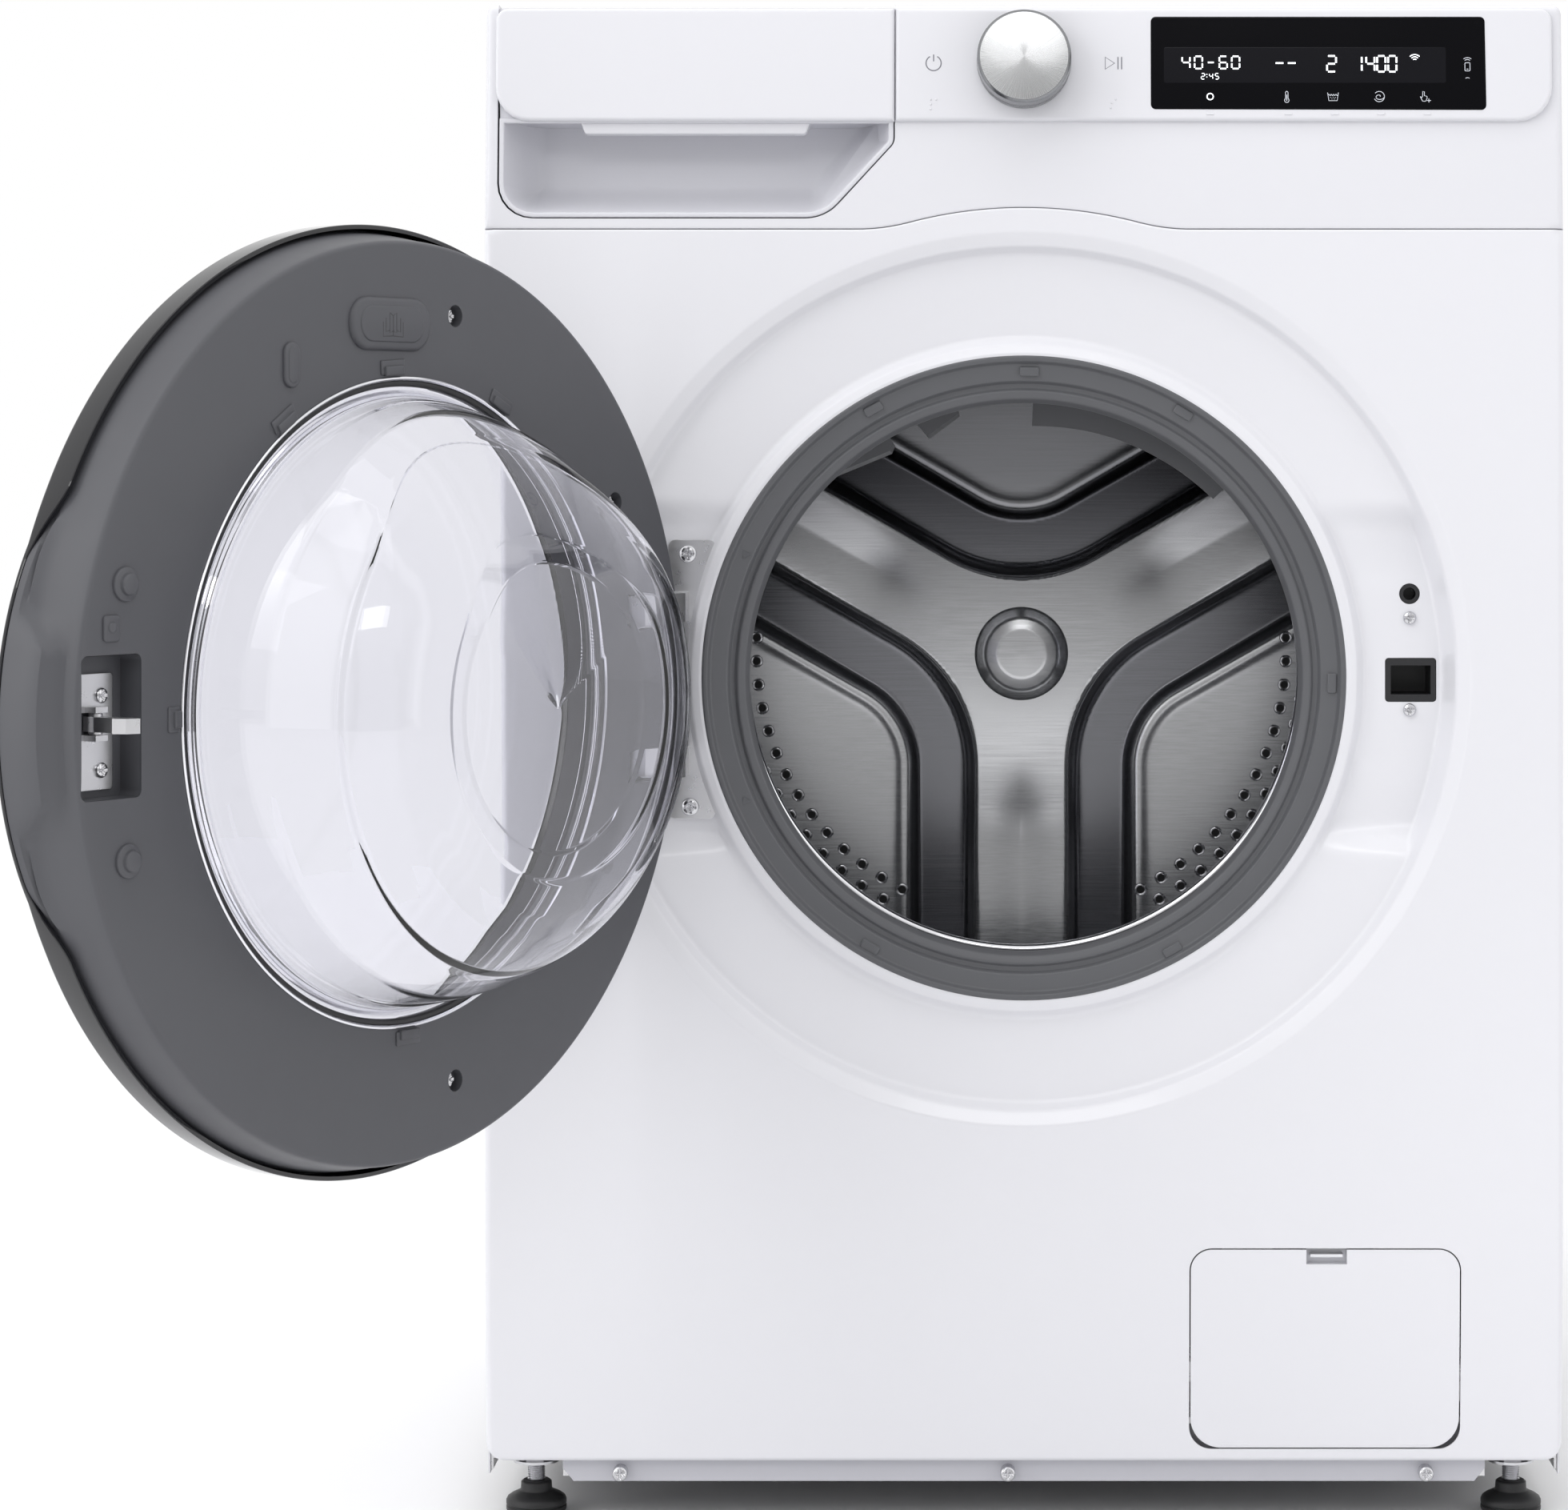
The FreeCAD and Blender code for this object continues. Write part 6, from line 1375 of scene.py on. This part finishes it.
def make_bowl_ring():
    """Thin bright ring and dark seal line where the bowl leaves the door."""
    ring = rounded_path([(163.9, 6.0), (163.9, 7.9), (162.9, 8.3), (161.9, 7.6), (161.9, 5.4)],
                        [0, 0.4, 0.4, 0.4, 0], 4)
    verts, faces = lathe(ring, 256, close=True)
    piece("bowl_trim", "door", verts, faces, MAT["chrome"], OPEN, replaces=["door_glass_ring"])
    dark = rounded_path([(161.9, 5.2), (161.8, 7.2), (159.4, 7.0), (158.8, 5.3)], [0, 0.4, 0.4, 0], 3)
    verts, faces = lathe(dark, 256, close=True)
    piece("bowl_seal_line", "door", verts, faces, MAT["black_part"], OPEN)


def make_window():
    """Clear outer window with a polished edge."""
    edge_r, back = 167.9, -27.4
    section = [(0.2, COVER_T), (edge_r - 1.3, COVER_T), (edge_r, COVER_T + 1.2), (edge_r, back), (0.2, back)]
    profile = rounded_path(section, [0, 0.8, 0.5, 0.3, 0], 4)
    verts, faces = lathe(profile, 200, cap_first=True, cap_last=True)
    piece("door_window_glass", "door", verts, faces, MAT["window"], OPEN,
          replaces=["door_window"])


# ---------------------------------------------------------------- seal flaps and feet
def polar(r, degrees):
    """Point of the cabinet front at a radius and an angle round the drum axis."""
    a = math.radians(degrees)
    return r * math.cos(a), AXIS_Z + r * math.sin(a)


def rubber_flap(corners, t0, t1, lean_back):
    """Flap with the given (radius, angle) corners, leaning back towards the drum axis."""
    rows = []
    for t, shift in ((t0, 0.0), (t0, 0.0), (t1, -lean_back), (t1, -lean_back)):
        rows.append([(x, FRONT + t, z) for x, z in (polar(r + shift, a) for r, a in corners)])
    return loft(rows, cap_first=True, cap_last=True)


def make_seal_flaps():
    """Rubber flaps deep in the seal at the top, behind the shut bowl: spray guard and two smaller ones."""
    steps = 24
    span = [88.0 + (42.5 - 88.0) * k / steps for k in range(steps + 1)]
    inner = [141.0 + 6.0 * k / steps for k in range(steps + 1)]
    root = 168.0
    guard = [(root, a) for a in span] + [(r, a) for r, a in reversed(list(zip(inner, span)))]
    flaps = [rubber_flap(guard, 66.0, 71.0, 0.0)]
    flaps.append(rubber_flap([(root, 142.0), (root, 120.0), (151.0, 119.5), (148.0, 121.0)], 66.0, 76.0, 2.0))
    flaps.append(rubber_flap([(root, 114.5), (root, 103.5), (153.0, 104.0), (146.0, 112.0)], 66.0, 78.0, 2.0))
    verts, faces = join(flaps)
    piece("seal_flaps", "tub", verts, faces, MAT["rubber"], sharp=30)


FEET = {"front_left": (-276.0, -228.0), "front_right": (276.0, -228.0),
        "rear_left": (-276.0, 236.0), "rear_right": (276.0, 236.0)}


def make_feet():
    """Levelling feet: ribbed rubber pad, neck, hexagon and threaded stud."""
    for corner, (x, y) in FEET.items():
        rings = [(14.8, 0.0), (16.4, 1.0), (17.0, 2.4), (17.0, 4.0), (16.3, 4.4), (16.3, 5.0), (17.0, 5.4),
                 (17.0, 7.4), (16.2, 9.0), (14.2, 10.4), (9.4, 12.6), (8.8, 13.6), (8.6, 17.4), (7.4, 18.4)]
        verts, faces = upright_lathe(rings, x, y, 96)
        piece(f"foot_pad_{corner}", f"foot_{corner}_body", verts, faces, MAT["foot"],
              replaces=[f"foot_{corner}"])
        thread = [(5.0 if k % 2 else 4.45, 18.4 + k * 0.62) for k in range(54)]
        verts, faces = upright_lathe([(5.0, 17.5)] + thread, x, y, 32)
        piece(f"foot_stud_{corner}", f"foot_{corner}_body", verts, faces, MAT["screw"],
              sharp=60)


# ---------------------------------------------------------------- floor, light and camera
def make_stage():
    """Pale floor that runs far out behind the machine."""
    rows = []
    for y in (-4200, -1200, 0, 1200, 5200):
        rows.append([(x, y, -0.4) for x in (-5200, -1500, 0, 1500, 5200)])
    verts = [p for row in rows for p in row]
    faces = grid_faces(len(rows), len(rows[0]), False, False)
    floor = piece("floor", None, verts, faces, MAT["floor"])


def floor_material():
    """Near-white studio floor."""
    made = Shader("floor_pale", (0.86, 0.86, 0.87), 0.6)
    made.vary_colour(made.noise(2.0), 0.01)
    made.relief(made.noise(120.0), 0.05, 0.0003)
    MAT["floor"] = made.material


def area_light(name, location, target, size, power, size_y=None):
    """Soft light aimed at a target, in metres and watts, that polished surfaces do not mirror."""
    light = bpy.data.lights.new(name, "AREA")
    light.energy = power
    light.shape = "RECTANGLE" if size_y else "SQUARE"
    light.size = size
    if size_y:
        light.size_y = size_y
    made = bpy.data.objects.new(name, light)
    bpy.context.scene.collection.objects.link(made)
    made.visible_glossy = False
    made.location = location
    made.rotation_mode = "QUATERNION"
    made.rotation_quaternion = (Vector(target) - Vector(location)).to_track_quat("-Z", "Y")
    return made


# compass direction, half width of the full and of the fading part in degrees, strength
STRIPS = (
    ((-0.90, -0.44), 2.0, 15.0, 2.2),
    ((-0.52, -0.855), 1.0, 11.0, 1.1),
    ((0.93, -0.36), 2.0, 16.0, 0.6),
)


def world_strip(tree, level, towards, inner, outer, strength):
    """Upright soft strip light in a compass direction; inner and outer are half widths in degrees."""
    dot = tree.nodes.new("ShaderNodeVectorMath")
    dot.operation = "DOT_PRODUCT"
    size = math.hypot(*towards)
    dot.inputs[1].default_value = (towards[0] / size, towards[1] / size, 0)
    ramp = tree.nodes.new("ShaderNodeMapRange")
    ramp.interpolation_type = "SMOOTHERSTEP"
    ramp.inputs["From Min"].default_value = math.cos(math.radians(outer))
    ramp.inputs["From Max"].default_value = math.cos(math.radians(inner))
    ramp.inputs["To Min"].default_value = 0.0
    ramp.inputs["To Max"].default_value = strength
    tree.links.new(level, dot.inputs[0])
    tree.links.new(dot.outputs["Value"], ramp.inputs["Value"])
    return ramp.outputs["Result"]


def make_world():
    """White studio, duller behind the camera, with soft upright strips that glass and metal mirror."""
    world = bpy.data.worlds.new("studio")
    bpy.context.scene.world = world
    world.use_nodes = True
    tree = world.node_tree
    background = tree.nodes["Background"]
    coords = tree.nodes.new("ShaderNodeTexCoord")
    split = tree.nodes.new("ShaderNodeSeparateXYZ")
    flat = tree.nodes.new("ShaderNodeVectorMath")
    flat.operation = "MULTIPLY"
    flat.inputs[1].default_value = (1, 1, 0)
    level = tree.nodes.new("ShaderNodeVectorMath")
    level.operation = "NORMALIZE"
    depth = tree.nodes.new("ShaderNodeMapRange")
    depth.inputs["From Min"].default_value = -0.95
    depth.inputs["From Max"].default_value = 0.10
    depth.inputs["To Min"].default_value = 0.42
    depth.inputs["To Max"].default_value = 1.0
    lift = tree.nodes.new("ShaderNodeMapRange")
    lift.inputs["From Min"].default_value = 0.08
    lift.inputs["From Max"].default_value = 0.60
    lift.inputs["To Min"].default_value = 0.0
    lift.inputs["To Max"].default_value = 0.50
    total = tree.nodes.new("ShaderNodeMath")
    total.operation = "ADD"
    total.use_clamp = True
    tree.links.new(coords.outputs["Generated"], split.inputs["Vector"])
    tree.links.new(coords.outputs["Generated"], flat.inputs[0])
    tree.links.new(flat.outputs["Vector"], level.inputs[0])
    tree.links.new(split.outputs["Y"], depth.inputs["Value"])
    tree.links.new(split.outputs["Z"], lift.inputs["Value"])
    tree.links.new(depth.outputs["Result"], total.inputs[0])
    tree.links.new(lift.outputs["Result"], total.inputs[1])
    brightness = total.outputs["Value"]
    for towards, inner, outer, strength in STRIPS:
        strip = world_strip(tree, level.outputs["Vector"], towards, inner, outer, strength)
        add = tree.nodes.new("ShaderNodeMath")
        add.operation = "ADD"
        tree.links.new(brightness, add.inputs[0])
        tree.links.new(strip, add.inputs[1])
        brightness = add.outputs["Value"]
    tree.links.new(brightness, background.inputs["Color"])
    background.inputs["Strength"].default_value = 1.0


def make_lights():
    """Soft key from the upper left and a weaker fill from the right."""
    make_world()
    area_light("key_left", (-2.3, -2.5, 2.3), (0, -0.2, 0.5), 1.6, 14)
    area_light("fill_right", (2.7, -2.3, 1.0), (0, -0.2, 0.5), 1.5, 5)
    area_light("top", (0, -0.7, 2.8), (0, -0.1, 0.4), 1.8, 12)
    glint = area_light("drum_glint", (0, -2.6, 1.78), (0, 0.02, 0.474), 0.9, 4, 0.34)
    glint.visible_glossy = True


def make_camera():
    """Camera square to the front at the photographed distance, with the picture shifted sideways."""
    data = bpy.data.cameras.new("camera")
    camera = bpy.data.objects.new("camera", data)
    bpy.context.scene.collection.objects.link(camera)
    camera.location = (-0.01296, FRONT * MM - 2.34219, 0.5981)
    camera.rotation_euler = (math.pi / 2, 0, 0)
    data.sensor_width = 36.0
    data.lens = 96.8
    data.shift_x = -0.1382
    data.shift_y = -0.1909
    data.clip_end = 50
    bpy.context.scene.camera = camera
    bpy.context.scene.view_settings.view_transform = "Standard"


# ---------------------------------------------------------------- build
finish_nodes()
knob_materials()
floor_material()
make_front_skin()
make_drum_back()
make_perforations()
make_drum_mouth()
make_seal()
make_seal_marks()
make_knob()
make_console()
make_drawer()
make_display()
make_fascia_marks()
make_door_inner()
make_door_cover()
make_door_marks()
make_screws()
make_bowl()
make_bowl_ring()
make_window()
make_seal_flaps()
make_feet()
make_stage()
make_lights()
make_camera()
